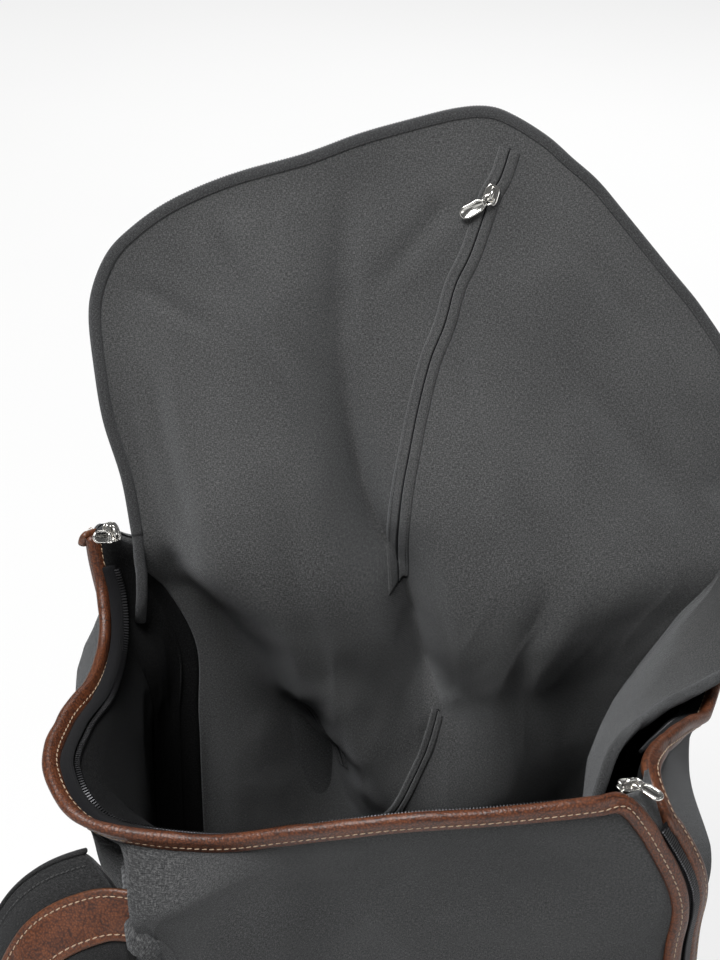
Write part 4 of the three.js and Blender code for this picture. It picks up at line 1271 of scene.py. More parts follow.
def corner_web():
    """cloth between the inner cloth's right side and the right tail"""
    t = np.linspace(0, 1, 120 // COARSE)
    k = np.linspace(0, 1, 34 // COARSE)
    facing = vec(-1, -0.6, 0.5)
    lower = [(99, -66, 322), (98, -68, 285), (98, -68, 245)]
    tail = spline(np.vstack([EDGE_PATH[-1:], RIGHT_TAIL, lower]), t)
    side = inner(180.5, LID_FOOT - 215 * t ** 1.15, 0.6)
    across = k[:, None]
    sag = vec(-9, -6, 4) * np.sin(math.pi * across) * np.minimum(1, t * 5)[:, None, None]
    web = side[:, None] * (1 - across) + tail[:, None] * across + sag
    normals = grid_normals(web)
    normals = normals * np.sign(normals @ facing)[..., None]
    tt, kk = np.meshgrid(t, k, indexing="ij")
    wrinkle = 2.6 * folds(tt * 3.2 + kk * 0.8, kk * 2.2 + 3, 131) - 1.5
    wrinkle = wrinkle * np.minimum(1, tt * 6) * np.sin(math.pi * kk) ** 0.5
    web = web + normals * wrinkle[..., None]
    flip = points_away(web, len(t) // 2, len(k) // 2, facing)
    attach_hinged(sheet("lid_corner_web", web, 0.9, LINING, flip=flip))
    sewn = slice(3, int(len(t) * 0.78))
    path = web[sewn, -3] + normals[sewn, -3] * 0.5
    attach_hinged(stitches("lid_corner_web_stitch", path, normals[sewn, -3], THREAD_DARK,
                           **FINE_STITCH), slot="lining_fabric")


PIPING_PROFILE = [(-1.3, -4.6), (0.0, -4.9), (1.0, -4.5), (1.5, -3.4), (1.7, 0.0), (2.2, 2.6),
                  (1.9, 4.2), (0.9, 5.0), (-0.6, 4.9), (-1.3, 4.2)]


def lid_edge_trim():
    """stitches, then the lid's half of the main zip and its leather, on the outer face"""
    t = EDGE_T
    for name, out, h in (("lid_binding_stitch", -3.1, 3.9), ("lid_binding_stitch_out", -2.9, -2.3)):
        attach(stitches(name, edge_at(t, out, h), LID_IN if h > 0 else -LID_IN, THREAD_DARK,
                        **FINE_STITCH), "lid")
    attach(sweep("lid_zip_tape_woven", edge_at(t, -6.5, -3.7), -LID_IN, strip(0.45, -6.4, 6.4),
                 TAPE), "lid", "lid_zip_tape")
    attach(open_teeth("lid_teeth", edge_at(t, 1.5, -4.2), -LID_IN), "lid", "lid_zip_teeth")
    attach(sweep("lid_leather_piping", edge_at(t, -8.6, -5.2), -LID_IN, PIPING_PROFILE, LEATHER,
                 across=edge_at(t, 2, -5) - edge_at(t, 0, -5)), "lid", "lid_piping")
    attach(stitches("lid_piping_stitch", edge_at(t, -11.2, -6.75), -LID_IN, THREAD,
                    size=(3.0, 0.75, 0.55), lift=0.1), "lid")


# ------------------------------------------------------------------ slots in the inner cloth
# the lid pocket's zip line, in (s, w)
LID_ZIP = [(54, 222), (49, 210), (43, 199), (38, 183), (32, 166), (24, 149), (18, 127), (10, 107),
           (3, 80), (-2, 56), (-6, 34)]
# name tag, line in (s, w), half width of the lapped edges, points along
SLOTS = [
    ("", [(54, 225)] + LID_ZIP[1:] + [(-8, 12), (-8, -8), (-5, -26)], 5.6, 150),
    ("_low", [(38, -108), (30, -122), (16, -143), (2, -164), (-10, -182)], 4.6, 50),
    ("_side", [(-88, -112), (-72, -128), (-56, -146), (-46, -164)], 4.6, 50)]


def lane(line, across, count):
    """(s, w) at a distance beside a line"""
    p = spline(line, np.linspace(0, 1, count))
    g = unit(np.gradient(p, axis=0))
    p = p + np.stack([-g[:, 1], g[:, 0]], -1) * across
    return p[:, 0], p[:, 1]


def lane_normals(line, across, count):
    s, w = lane(line, across, count)
    e = 1.5
    normals = unit(np.cross(inner(s + e, w) - inner(s - e, w), inner(s, w + e) - inner(s, w - e)))
    return normals * np.sign(normals @ vec(0, -1, 0.3))[:, None]


def cloth_slots():
    """two lapped edges with a slot between, a stitch line on each and a tape beneath"""
    for tag, line, width, count in SLOTS:
        join = attach if tag else attach_hinged
        # distance from the slot, lift off the cloth
        section = ((0.35, 0.5), (0.6, 1.15), (1.4, 1.35), (width * 0.6, 1.2), (width, 0.9),
                   (width + 0.7, 0.2))
        for side, word in ((-1, "left"), (1, "right")):
            grid = np.stack([inner(*lane(line, side * d, count), lift) for d, lift in section], 0)
            middle = count // 2
            flip = points_away(grid, 3, middle, lane_normals(line, side * 2, count)[middle])
            join(sheet("slot_edge_%s%s" % (word, tag), grid, 0.5, LINING, flip=flip))
            across = side * (width - 1.0)
            join(stitches("slot_stitch_%s%s" % (word, tag), inner(*lane(line, across, count), 1.1),
                          lane_normals(line, across, count), THREAD_DARK,
                          size=(2.3, 0.6, 0.5), pitch=3.0, lift=0.1), slot="lining_fabric")
        join(sweep("slot_shadow_tape" + tag, inner(*lane(line, 0, count), 0.25),
                   lane_normals(line, 0, count), strip(0.3, -1.3, 1.3), TAPE))


# ------------------------------------------------------------------ lining
def mouth_lining():
    """lining of the left, near and right walls, up to the zip tape"""
    u0, u1 = 15.94, 35.62
    u = np.linspace(u0, u1, 300 // COARSE)
    uu, vv = np.meshgrid(u, np.linspace(0.09, 0.955, 90 // COARSE), indexing="ij")
    fold = (4.5 * folds(uu * 0.75 + vv * 1.4, vv * 3.2, 51) + 2.0 * folds(uu * 1.7, vv * 6.0, 57)
            + 0.5 * layered_noise(uu * 4, vv * 20, 59))
    from_ends = np.minimum(uu - u0, u1 - uu)
    fade = 1 - ease(0.84, 0.95, vv)
    h = -9.5 - 2.5 * ease(0, 1.0, from_ends) * fade - fold * ease(0.0, 1.2, from_ends) * fade
    # it hangs further in along the near wall, about column 2
    away = np.abs(np.mod(uu, COLUMNS) - 2)
    h = h - 4.4 * fade * np.clip((5.2 - np.minimum(away, COLUMNS - away)) / 1.6, 0, 1)
    top = [on_tape(u, across, lift)[:, None]
           for across, lift in ((5.4, -1.6), (2.8, -1.3), (0.2, -1.2))]
    grid = np.concatenate([off_wall(uu, vv, h)] + top, 1)
    i = 150 // COARSE
    flip = points_away(grid, i, 40 // COARSE, -wall_normal(u[i], 0.5))
    # the mouth lining takes the darker lining copy, which paints the shade inside the bag
    attach(sheet("mouth_lining", grid, 0.9, LINING_PAINTED_SHADE, flip=flip), "root", "main_lining")


def floor_lining():
    u = np.linspace(0, COLUMNS, 120, endpoint=False)
    plan = off_wall(u, 0.1, -8.5)[:, :2]
    rows = []
    for k in np.concatenate([[0.02], np.linspace(0.1, 1.0, 24)]):
        x, y = (CENTRE + (plan - CENTRE) * k).T
        z = 9.5 + 2.2 * noise(x / 40, y / 40, 61) + 3.0 * ease(0.85, 1.0, k)
        rows.append(np.stack([x, y, z], -1))
    # the floor lining takes the darker lining copy, which paints the shade inside the bag
    attach(sheet("floor_lining", np.stack(rows, 1), 0.8, LINING_PAINTED_SHADE, closed=True))


# ------------------------------------------------------------------ leather on rim and runs
# A key is a (point, normal, across) triple that the leather binding passes through.
RIM_PROFILE = [(-1.9, -1.4), (-0.9, -2.0), (0.9, -2.0), (2.35, -1.4), (2.75, -0.6), (2.9, 1.2),
               (2.8, 3.0), (3.05, 4.6), (3.1, 6.0), (2.6, 7.4), (1.5, 8.4), (0.0, 8.8),
               (-1.5, 8.4), (-2.6, 7.4), (-3.1, 6.0), (-3.0, 3.0), (-2.7, 0.0)]
RIM_STITCH = dict(size=(3.0, 0.8, 0.6), lift=0.05)
LEFT_RUN_BASE = 13.2                # from the left run's middle to its leather's base
RUN_DOWN = (0.955, RUN_END - 0.02)  # v at the ends of a run's keys


def rim_key(u):
    return wall(u, 1.0) - wall_normal(u, 1.0) * 1.3, wall_normal(u, 1.0), rim_up(u)


def run_key(column, v, side, base_off=12.6):
    """side +1 turns the folded edge towards larger u"""
    p = on_run(column, -side * base_off, 1.5, v)
    inside = on_run(column, -side * (base_off - 2), 1.5, v)
    return p, wall_normal(beside(column, v, -side * 8.0), v), unit(inside - p)


def left_leg_key(v):
    """the left run's inner leather stands off the wall as it nears the rim"""
    p, normal, across = run_key(RUN_LEFT, v, -1, LEFT_RUN_BASE)
    return p + normal * (11.0 * float(ease(0.7, 0.9, v))), normal, across


def corner_key(u, stand_off, u_from, u_to):
    """turn from the rim down into a run, leaning from u_from towards u_to"""
    normal, up = wall_normal(u, 1.0), rim_up(u)
    lean = unit(wall(u_to, 1) - wall(u_from, 1))
    return (wall(u, 1.0) + normal * stand_off + up * -0.5, unit(normal + up * 0.6),
            unit(up + lean * 0.9))


def left_corner_keys():
    n = wall_normal(17.4, 1.0)
    out = unit(vec(n[0], n[1], 0))
    lean = unit(wall(17.9, 1) - wall(17.4, 1))
    return [(wall(17.5, 1.0) + out * 9.0 + vec(0, 0, 4.0), unit(out + vec(0, 0, 0.2)),
             unit(vec(0, 0, 1) - lean * 0.5)),
            (wall(17.3, 1.0) + out * 2.2 + vec(0, 0, 7.0), unit(out * 0.8 + vec(0, 0, 0.6)),
             vec(0, 0, 1))]


def rim_leather(tag, keys, *nodes):
    points, normals, across = (np.array(rows) for rows in zip(*keys))
    step = 1.5
    count = int(np.linalg.norm(np.diff(points, axis=0), axis=1).sum() / step)
    t = np.linspace(0, 1, count * 3)
    points, normals, across = resample(spline(points, t), step, spline(normals, t),
                                       spline(across, t))
    smooth_directions(normals, 6)
    smooth_directions(across, 6)
    wobble = 0.12 * (noise(np.arange(len(points)) / 9.0, 0, 71) - 0.5)
    attach(sweep("rim_leather_" + tag, points, normals, RIM_PROFILE, LEATHER, across=across,
                 scale=1 + wobble), "root", *nodes)
    for name, side in (("rim_stitch_", 1), ("rim_stitch_in_", -1)):
        path = points + unit(normals) * (side * 2.85) + unit(across) * 1.7
        attach(stitches(name + tag, path, side * normals, THREAD, **RIM_STITCH))


def rim_leathers():
    down = np.linspace(*RUN_DOWN, 16)
    keys = [left_leg_key(v) for v in np.linspace(RUN_END - 0.02, 0.95, 16)]
    keys += left_corner_keys()
    keys += [rim_key(u) for u in np.concatenate([[17.55, 17.8], np.linspace(18.05, 28.45, 52)])]
    keys.append(corner_key(28.95, 0.6, 28.9, 29.4))
    keys += [run_key(RUN_RIGHT, v, 1) for v in down]
    rim_leather("near", keys, "near_rim_piping", "left_run_piping_side")
    keys = [rim_key(u) for u in np.linspace(11.55, 7.3, 26)]
    keys.append(corner_key(6.62, 0.8, 7.0, 6.5))
    keys += [run_key(RUN_RIGHT, v, -1) for v in down]
    rim_leather("right", keys, "right_rim_piping")
    keys = [run_key(RUN_LEFT, v, 1, LEFT_RUN_BASE) for v in np.linspace(0.975, RUN_END - 0.02, 16)]
    rim_leather("left_run_outer", keys, "left_run_piping_outer")


# ------------------------------------------------------------------ main zip
def rim_zips():
    """tape and open teeth inside the rim"""
    for name, u0, u1, count in (("near", 17.55, 28.9, 260), ("right", 7.2, 11.2, 100)):
        u = np.linspace(u0, u1, count)
        path = on_tape(u, 2.2, 0.4)
        attach(sweep(name + "_tape_woven", path, unit(on_tape(u, 2.2, 1.4) - path),
                     strip(0.5, -3.8, 3.9), TAPE, across=on_tape(u, 4.2, 0.4) - path),
               "root", name + "_zip_tape")
        path = on_tape(u, 6.9, 0.5)
        attach(open_teeth(name + "_teeth_open", path, unit(on_tape(u, 6.9, 1.5) - path),
                          size=(0.95, 3.4, 2.1)), "root", name + "_zip_teeth")


STOP_HALF = 13.5                    # half width of the leather stop under a run


def stop_v(down):
    """v on the leather stop, down 0..1 from its top"""
    return RUN_END - 0.006 - 0.068 * down


def zip_stop(name, column):
    across, down = np.meshgrid(np.linspace(-STOP_HALF, STOP_HALF, 22), np.linspace(0, 1, 14),
                               indexing="ij")
    edge = np.minimum(STOP_HALF - np.abs(across), np.minimum(down, 1 - down) * 22)
    narrowing = 1 - 0.25 * ease(0.45, 1.0, down)
    grid = on_run(column, across * narrowing, 0.6 + 2.2 * ease(0.0, 1.4, edge), stop_v(down))
    out = wall_normal(column, RUN_END)
    piece = sheet(name + "_stop_leather", grid, 1.2, LEATHER, flip=points_away(grid, 10, 7, out))
    attach(piece, "root", name + "_zip_tab")
    line = polyline([(-10.8, 0.1), (-9.0, 0.86), (9.0, 0.86), (10.8, 0.1)], 12)
    attach(stitches(name + "_stop_stitch", on_run(column, line[:, 0], 2.95, stop_v(line[:, 1])),
                    out, THREAD, size=(2.7, 0.75, 0.55), pitch=3.6))


def run_zips():
    """closed zips down the two corners, each with a leather stop"""
    for name, column, top in (("right", RUN_RIGHT, 0.945), ("left", RUN_LEFT, 0.955)):
        v = np.linspace(RUN_END - 0.01, top, 100)
        attach(sweep(name + "_run_tape_woven", on_run(column, 0, 1.4, v), wall_normal(column, v),
                     strip(0.45, -5.6, 5.6), TAPE), "root", name + "_run_tape")
        for tag, side, first, nodes in (("a", -1, 0, ()), ("b", 1, 1, (name + "_run_teeth",))):
            path = on_run(column, side * 1.15, 2.9, v[first:])
            attach(closed_teeth("%s_run_teeth_%s" % (name, tag), path,
                                wall_normal(column, v[first:]), first, size=(0.95, 3.3, 2.0)),
                   "root", *nodes)
        zip_stop(name, column)


# ------------------------------------------------------------------ shoulder straps
PAD_HALF, PAD_THICK = 33, 5.4       # half width and half thickness of the pads
STRIP_HALF = 14.0                   # half width of the leather strip
# middle: spine of the pad from top to bottom; facing: its outward direction at each point.
# start: t where the pad begins; slant: how much later its upper edge begins (half the change)
STRAPS = [
    dict(side="left", start=0.15, slant=0.055, strip_lead=0.03,
         foot=vec(-139, -98, 34), foot_out=vec(-0.5, -0.87, 0),
         middle=[(-112, -112, 341), (-130, -112, 350), (-154, -109, 347), (-184, -111, 325),
                 (-204, -121, 280), (-210, -132, 225), (-204, -133, 172), (-190, -128, 124)],
         facing=[(-0.05, -0.99, 0.08), (-0.15, -0.95, 0.3), (-0.25, -0.87, 0.42),
                 (-0.5, -0.72, 0.48), (-0.72, -0.66, 0.22), (-0.76, -0.65, 0),
                 (-0.74, -0.65, -0.15), (-0.7, -0.66, -0.28)]),
    dict(side="right", start=0.0, slant=0.0, strip_lead=0.0,
         foot=vec(140, -98, 34), foot_out=vec(0.5, -0.87, 0),
         middle=[(96, -115, 268), (112, -123, 268), (136, -134, 254), (160, -140, 228),
                 (174, -145, 192), (176, -143, 156), (170, -135, 122), (162, -126, 93)],
         facing=[(0.05, -0.96, 0.26), (0.1, -0.9, 0.42), (0.3, -0.85, 0.42), (0.5, -0.8, 0.3),
                 (0.6, -0.78, 0.1), (0.62, -0.78, -0.05), (0.6, -0.77, -0.15),
                 (0.56, -0.78, -0.25)])]
WEB_PROFILE = np.array([(0.95, -12.2), (1.0, -11.8), (1.0, 11.8), (0.95, 12.2),
                        (-0.95, 12.2), (-1.0, 11.8), (-1.0, -11.8), (-0.95, -12.2)])


def strap_frame(strap, t):
    """middle, along, outward and across at t"""
    t = np.atleast_1d(np.asarray(t, float))
    middle = strap["middle"]
    along = unit(spline(middle, np.minimum(t + 0.01, 1)) - spline(middle, np.maximum(t - 0.01, 0)))
    out = spline(strap["facing"], t)
    out = unit(out - along * (out * along).sum(-1, keepdims=True))
    return spline(middle, t), along, out, np.cross(out, along)


def slanted(strap, t, across):
    """t moved so that the upper edge (across = -1) starts later"""
    begin = strap["start"] + strap["slant"] * (1 - across)
    return begin + (1 - begin) * (t - strap["start"]) / (1 - strap["start"])


def strap_pad(strap, t, half):
    """quilted pad: cloth outside, spacer mesh on the side towards the back panel"""
    side, sides = strap["side"], 40
    angle = np.arange(sides) * 2 * math.pi / sides
    c, s = np.cos(angle), np.sin(angle)
    across = np.sign(c) * np.abs(c) ** 0.55
    height = np.sign(s) * np.abs(s) ** 0.8
    start_gap, end_gap = (t - strap["start"]) / 0.02 + 0.15, (1 - t) / 0.02 + 0.15
    closing = np.minimum(1, np.minimum(start_gap, end_gap)) ** 0.5
    rows = []
    for i in range(sides):
        # thinner at the edges, with a stitched channel near each
        thick = PAD_THICK * (1 - 0.5 * abs(across[i]) ** 5)
        thick -= 1.3 * math.exp(-((abs(across[i]) - 0.80) / 0.05) ** 2)
        thick = thick + 0.25 * layered_noise(t * 22, i / 7.0, 81)
        middle, _, out, side_way = strap_frame(strap, slanted(strap, t, across[i]))
        rows.append(middle + side_way * (half * across[i])[:, None] * closing[:, None] ** 0.3
                    + out * ((height[i] * thick) * closing)[:, None])
    verts = np.stack(rows, 1).reshape(-1, 3)
    girth = arc_length(np.stack([across * PAD_HALF, height * PAD_THICK], -1))
    length = arc_length(strap_frame(strap, t)[0])
    uv = np.stack(np.meshgrid(length, girth, indexing="ij"), -1).reshape(-1, 2)
    rings = len(t)
    faces = tube_faces(rings, sides)
    faces.append(tuple(range(sides)))
    faces.append(tuple((rings - 1) * sides + j for j in range(sides - 1, -1, -1)))
    face_slots = [1 if 21 <= j <= 38 else 0 for j in range(sides)] * (rings - 1) + [0, 0]
    # the pad's outer cloth is the darker copy that paints its shade
    piece = mesh_piece("strap_pad_cloth_" + side, verts, faces, uv, STRAP_CLOTH_PAINTED_SHADE, SPACER,
                       face_slots=face_slots)
    attach(outward(piece), "strap_" + side, "strap_pad_" + side)


def strap_edges(strap, t, half):
    side = strap["side"]
    for sign, word in ((-1, "in"), (1, "out")):
        middle, _, _, across = strap_frame(strap, slanted(strap, t, sign))
        path = middle + across * (half * sign)[:, None]
        # edge cords in the darker cloth copy that paints the pads' shade
        attach(sweep("strap_edge_%s_%s" % (side, word), path[2:-2], (across * sign)[2:-2],
                     oval(1.5, 2.5, 12), STRAP_CLOTH_PAINTED_SHADE), "strap_" + side)
        middle, _, out, across = strap_frame(strap, slanted(strap, t, sign * 0.8))
        path = middle + across * ((half * 0.8) * sign)[:, None] + out * 4.0
        attach(stitches("strap_stitch_%s_%s" % (side, word), path[4:-4], out[4:-4], THREAD_DARK,
                        size=(2.6, 0.6, 0.45), pitch=3.4, lift=0.1), "strap_" + side)


def strap_strip(strap):
    """leather strip along the pad, grooved where it is stitched"""
    side = strap["side"]
    # height, distance in from the strip's edge
    edge = [(0.0, 0), (1.5, 0.3), (2.0, 1.4), (2.1, 3.2), (1.75, 3.9), (2.2, 5.4)]
    profile = ([(h, -STRIP_HALF + d) for h, d in edge] + [(2.45, 0)]
               + [(h, STRIP_HALF - d) for h, d in edge[::-1]])
    t = np.linspace(strap["start"] + strap["strip_lead"], 0.985, 150)
    middle, _, out, across = strap_frame(strap, t)
    attach(sweep("strap_leather_strip_" + side, middle + out * 5.15, out, profile, LEATHER,
                 across=across), "strap_" + side, "strap_leather_" + side)
    for sign, word in ((-1, "in"), (1, "out")):
        path = middle + out * 7.0 + across * (sign * (STRIP_HALF - 3.9))
        attach(stitches("strap_leather_stitch_%s_%s" % (side, word), path, out, THREAD,
                        **RIM_STITCH), "strap_" + side)


def merge(parts):
    """one vertex array and face list from several (verts, faces, ...) parts"""
    verts, faces, first = [], [], 0
    for part in parts:
        verts.append(np.asarray(part[0], float))
        faces += [tuple(int(i) + first for i in f) for f in part[1]]
        first += len(part[0])
    return np.vstack(verts), faces


def strap_hardware(strap):
    """ladder lock, the webbing down to the base and its loose tail"""
    side, body = strap["side"], "strap_" + strap["side"]
    end, along, out, _ = [rows[0] for rows in strap_frame(strap, 1.0)]
    across = np.cross(out, along)
    lock = end + along * 9
    bars = []
    g = np.linspace(0, 1, 14)[:, None]
    # bar ends (along, across) and half width
    for (x0, y0), (x1, y1), radius in (
            ((-8, -16), (-8, 16), 1.7), ((8, -16), (8, 16), 1.7), ((-8, -15.5), (8, -15.5), 1.7),
            ((-8, 15.5), (8, 15.5), 1.7), ((-0.2, -15), (-0.2, 15), 1.5)):
        path = (lock + along * (x0 + (x1 - x0) * g) + across * (y0 + (y1 - y0) * g)
                + out * (0.5 * np.sin(math.pi * g)))
        bars.append(sweep_mesh(path, out, oval(1.5, radius, 12, 3.0)))
    piece = mesh_piece("ladder_lock_frame_" + side, *merge(bars),
                       np.vstack([bar[2] for bar in bars]), SILVER)
    attach(outward(piece), body, "ladder_lock_" + side)

    foot, foot_out = strap["foot"], unit(strap["foot_out"])
    line = np.array([end + along * 7, (end + foot) / 2 + out * 5, foot])
    facing = np.array([out, unit(out * 0.4 + foot_out * 0.6), foot_out])
    t = np.linspace(0.16, 1.0, 90)
    attach(sweep("strap_lower_web_" + side, spline(line, t), unit(spline(facing, t)),
                 WEB_PROFILE, WEBBING), body, "strap_webbing_" + side)

    g = np.linspace(0, 1, 50)[:, None]
    tail = (lock + along * (2 + 2 * g)
            + out * (2.8 + 3.2 * np.sin(np.minimum(1, g * 2) * math.pi / 2))
            + (along * 26 + vec(0, 0, -1) * 22) * g + out * (2.0 * np.sin(g * 5)))
    attach(sweep("strap_web_tail_" + side, tail, out, WEB_PROFILE * (1, 0.97), WEBBING), body)


def shoulder_straps():
    for strap in STRAPS:
        t = np.linspace(strap["start"], 1, 150 // COARSE)
        taper = np.minimum(0.55 + 0.45 * np.minimum(1, t / 0.12),
                           0.5 + 0.5 * np.minimum(1, (1 - t) / 0.16))
        half = PAD_HALF * np.minimum(1, taper)
        strap_pad(strap, t, half)
        strap_edges(strap, t, half)
        strap_strip(strap)
        strap_hardware(strap)


# ------------------------------------------------------------------ leather patches
def leather_patch(name, node, place, width, height, thick, body="root"):
    """rounded patch with a stitched border; place(x, y, h) maps it onto its surface,
    x from -width/2 to width/2 and y from 0 to height"""
    half, corner, border = width / 2, 3.0, 2.6
    x, y = np.meshgrid(np.linspace(-half, half, 26), np.linspace(0, height, 22), indexing="ij")
    # round the corners by pulling them in
    core_x = np.clip(np.abs(x), 0, half - corner)
    core_y = np.clip(y, corner, height - corner)
    dx = np.abs(x) - core_x
    dy = np.abs(y - core_y)
    pull = np.maximum(np.maximum(dx, dy), 1e-9) / np.maximum(np.hypot(dx, dy), 1e-9)
    pull = np.where((dx > 0) & (dy > 0), pull, 1)
    edge = np.minimum(half - np.abs(x), np.minimum(y, height - y))
    h = (thick * ease(-0.6, 1.0, edge) - 0.35 * np.exp(-((edge - border) / 0.7) ** 2)
         + 0.25 * ease(border + 1, border + 5, edge))
    grid = place(np.sign(x) * (core_x + dx * pull), core_y + np.sign(y - core_y) * dy * pull, h)
    attach(sheet(name, grid, 1.0, LEATHER), body, node)
    ring = rectangle(-half + border, border, half - border, height - border, 14).T
    path = place(*ring, thick - 0.1)
    attach(stitches(name + "_stitch", path, unit(place(*ring, thick + 0.9) - path), THREAD,
                    size=(2.6, 0.75, 0.55), pitch=3.4), body)


def strap_anchors():
    for name, column, v0, v1, width in (
            ("top_left", 0.55, 0.74, 0.87, 25), ("top_right", 3.21, 0.545, 0.665, 25),
            ("low_left", 23.02, 0.085, 0.17, 30), ("low_right", 4.95, 0.085, 0.17, 30)):
        height = float(np.linalg.norm(wall(column, v1) - wall(column, v0)))

        def place(x, y, h):
            v = v0 + (v1 - v0) * y / height
            u = beside(column, v, x)
            return off_wall(u, v, 0.2 + h + wall_fold(u, v))

        leather_patch("anchor_leather_" + name, "strap_anchor_" + name, place, width, height, 2.2)


# ------------------------------------------------------------------ carrying handle
def handle():
    """rolled handle hanging on the lid's outer face"""
    t = np.linspace(0, 1, 90)
    sag = np.sin(math.pi * t)
    path = lid_at(-HANDLE_END_S + 2 * HANDLE_END_S * t, HANDLE_END_W - 36 * sag ** 0.7,
                  -11.4 - 7 * sag)
    path, = resample(path, 1.6)
    swell = 0.86 + 0.28 * np.sin(math.pi * np.linspace(0, 1, len(path))) ** 0.6
    attach(sweep("handle_rolled_leather", path, -LID_IN, oval(4.4, 5.0, 18, 2.2), LEATHER,
                 scale=swell), "handle", "lid_handle")
    _, out, across = frames(path, -LID_IN)
    seam = path - across * (4.2 * swell)[:, None] + out * (2.4 * swell)[:, None]
    attach(stitches("handle_stitch", seam[3:-3], (out * 0.6 - across * 0.8)[3:-3], THREAD,
                    size=(3.0, 0.8, 0.6), lift=0.2), "handle")


def handle_fittings():
    """a patch and a leather loop at each end of the handle"""
    profile = [(0.9, -6.2), (1.0, -5.6), (1.0, 5.6), (0.9, 6.2), (-0.9, 6.2), (-0.9, -6.2)]
    for name, side in (("left", -1), ("right", 1)):
        def place(x, y, h):
            return lid_at(side * PATCH_S + x, PATCH_W + y, -(2.9 + h))

        leather_patch("handle_patch_leather_" + name, "handle_patch_" + name, place, *PATCH_SIZE,
                      thick=1.9, body="lid")
        angle = np.linspace(0, math.pi, 24)
        s = side * HANDLE_END_S
        path = lid_at(s, HANDLE_END_W + 8.2 * np.cos(angle), -4.0 - 13.2 * np.sin(angle) ** 0.8)
        # the small shift keeps the directions from ever being zero
        out = unit(path - lid_at(s, HANDLE_END_W, -4.0) + 1e-6)
        attach(sweep("handle_loop_" + name, path, out, profile, LEATHER), "lid")


# ------------------------------------------------------------------ outer pocket
POCKET_U0, POCKET_U1, POCKET_V0, POCKET_V1 = 12.1, 15.9, 0.1, 0.6
POCKET_WIDTH, POCKET_HEIGHT = 235, 270
ZIP_V, ZIP_B = 0.545, 0.89          # the pocket zip's height on the wall and on the pocket


def pocket_uv(a, b):
    return (POCKET_U0 + (POCKET_U1 - POCKET_U0) * a, POCKET_V0 + (POCKET_V1 - POCKET_V0) * b)


def pocket_edge(a, b):
    """distance to the pocket's edge"""
    return np.minimum(np.minimum(a, 1 - a) * POCKET_WIDTH, np.minimum(b, 1 - b) * POCKET_HEIGHT)


def pocket_bulge(a, b):
    return 4 + 20 * (1 - (2 * a - 1) ** 4) * (1 - (2 * b - 1) ** 4)


def pocket_height(a, b):
    """the bulge, let down at the edges"""
    return pocket_bulge(a, b) * (0.35 + 0.65 * ease(0, 14, pocket_edge(a, b)))


def pocket_outline(inset, h):
    """points and normals round the pocket"""
    x, y = inset / POCKET_WIDTH, inset / POCKET_HEIGHT
    a, b = rectangle(x, y, 1 - x, 1 - y, 55).T
    u, v = pocket_uv(a, b)
    return off_wall(u, v, pocket_height(a, b) + h), wall_normal(u, v)


def outer_pocket():
    a, b = np.meshgrid(np.linspace(0, 1, 140 // COARSE), np.linspace(0, 1, 130 // COARSE),
                       indexing="ij")
    edge = pocket_edge(a, b)
    crease = (1.8 * folds(a * 4 + b, b * 5, 91) * ease(4, 40, edge)
              + 0.8 * folds(a * 11, b * 9 + a * 2, 95) * ease(4, 30, edge))
    # dent across the pocket below its zip
    dent = -2.2 * np.exp(-((b - 0.80) / 0.03) ** 2) * ease(0.02, 0.12, a) * ease(0.02, 0.12, 1 - a)
    plain = pocket_height(a, b)
    h = plain + crease + dent * ease(0, 20, edge)
    h = np.where(np.abs(b - ZIP_B) < 0.03, plain, h)        # uncreased under the zip
    piece = sheet("outer_pocket_cloth", off_wall(*pocket_uv(a, b), h), np.clip(h - 1.3, 1.0, 3.0),
                  CLOTH)
    attach(piece, "root", "outer_pocket")
    attach(sweep("outer_pocket_piping", *pocket_outline(0.5, 0.0), oval(1.9, 1.9, 12), BINDING))
    attach(stitches("outer_pocket_stitch", *pocket_outline(6.5, 0.25), THREAD_DARK,
                    size=(2.6, 0.65, 0.5), pitch=3.4))


def pocket_zip_u(t):
    return POCKET_U0 + 0.25 + (POCKET_U1 - POCKET_U0 - 0.5) * t


def on_pocket_zip(t, across, h):
    t = np.asarray(t, float)
    return off_wall(pocket_zip_u(t), ZIP_V + across / 430,
                    pocket_bulge(0.06 + 0.88 * t, ZIP_B) + h)


def pocket_zip():
    """tape, closed teeth and a stitched leather welt on each side"""
    t = np.linspace(0, 1, 120)
    path = on_pocket_zip(t, 0, 3.9)
    normals = wall_normal(pocket_zip_u(t), ZIP_V)
    up = on_pocket_zip(t, 2, 3.9) - path
    attach(sweep("pocket_zip_tape_woven", path, normals, strip(0.5, -7.8, 7.8), TAPE, across=up),
           "root", "outer_pocket_zip_tape")
    welt = [(0.9, -3.6), (1.1, -3.0), (1.1, 3.0), (0.9, 3.6), (-0.9, 3.6), (-0.9, -3.6)]
    for tag, word, side, first, nodes in (("a", "low", -1, 0, ()),
                                          ("b", "high", 1, 1, ("outer_pocket_zip_teeth",))):
        attach(closed_teeth("pocket_zip_teeth_" + tag, on_pocket_zip(t, side * 1.1, 5.4), normals,
                            first, size=(0.95, 3.2, 1.9)), "root", *nodes)
        attach(sweep("pocket_zip_welt_" + word, on_pocket_zip(t, side * 7.2, 4.6), normals, welt,
                     LEATHER, across=up))
        attach(stitches("pocket_zip_welt_stitch_" + word, on_pocket_zip(t, side * 7.2, 5.75),
                        normals, THREAD, size=(3.0, 0.75, 0.5)))


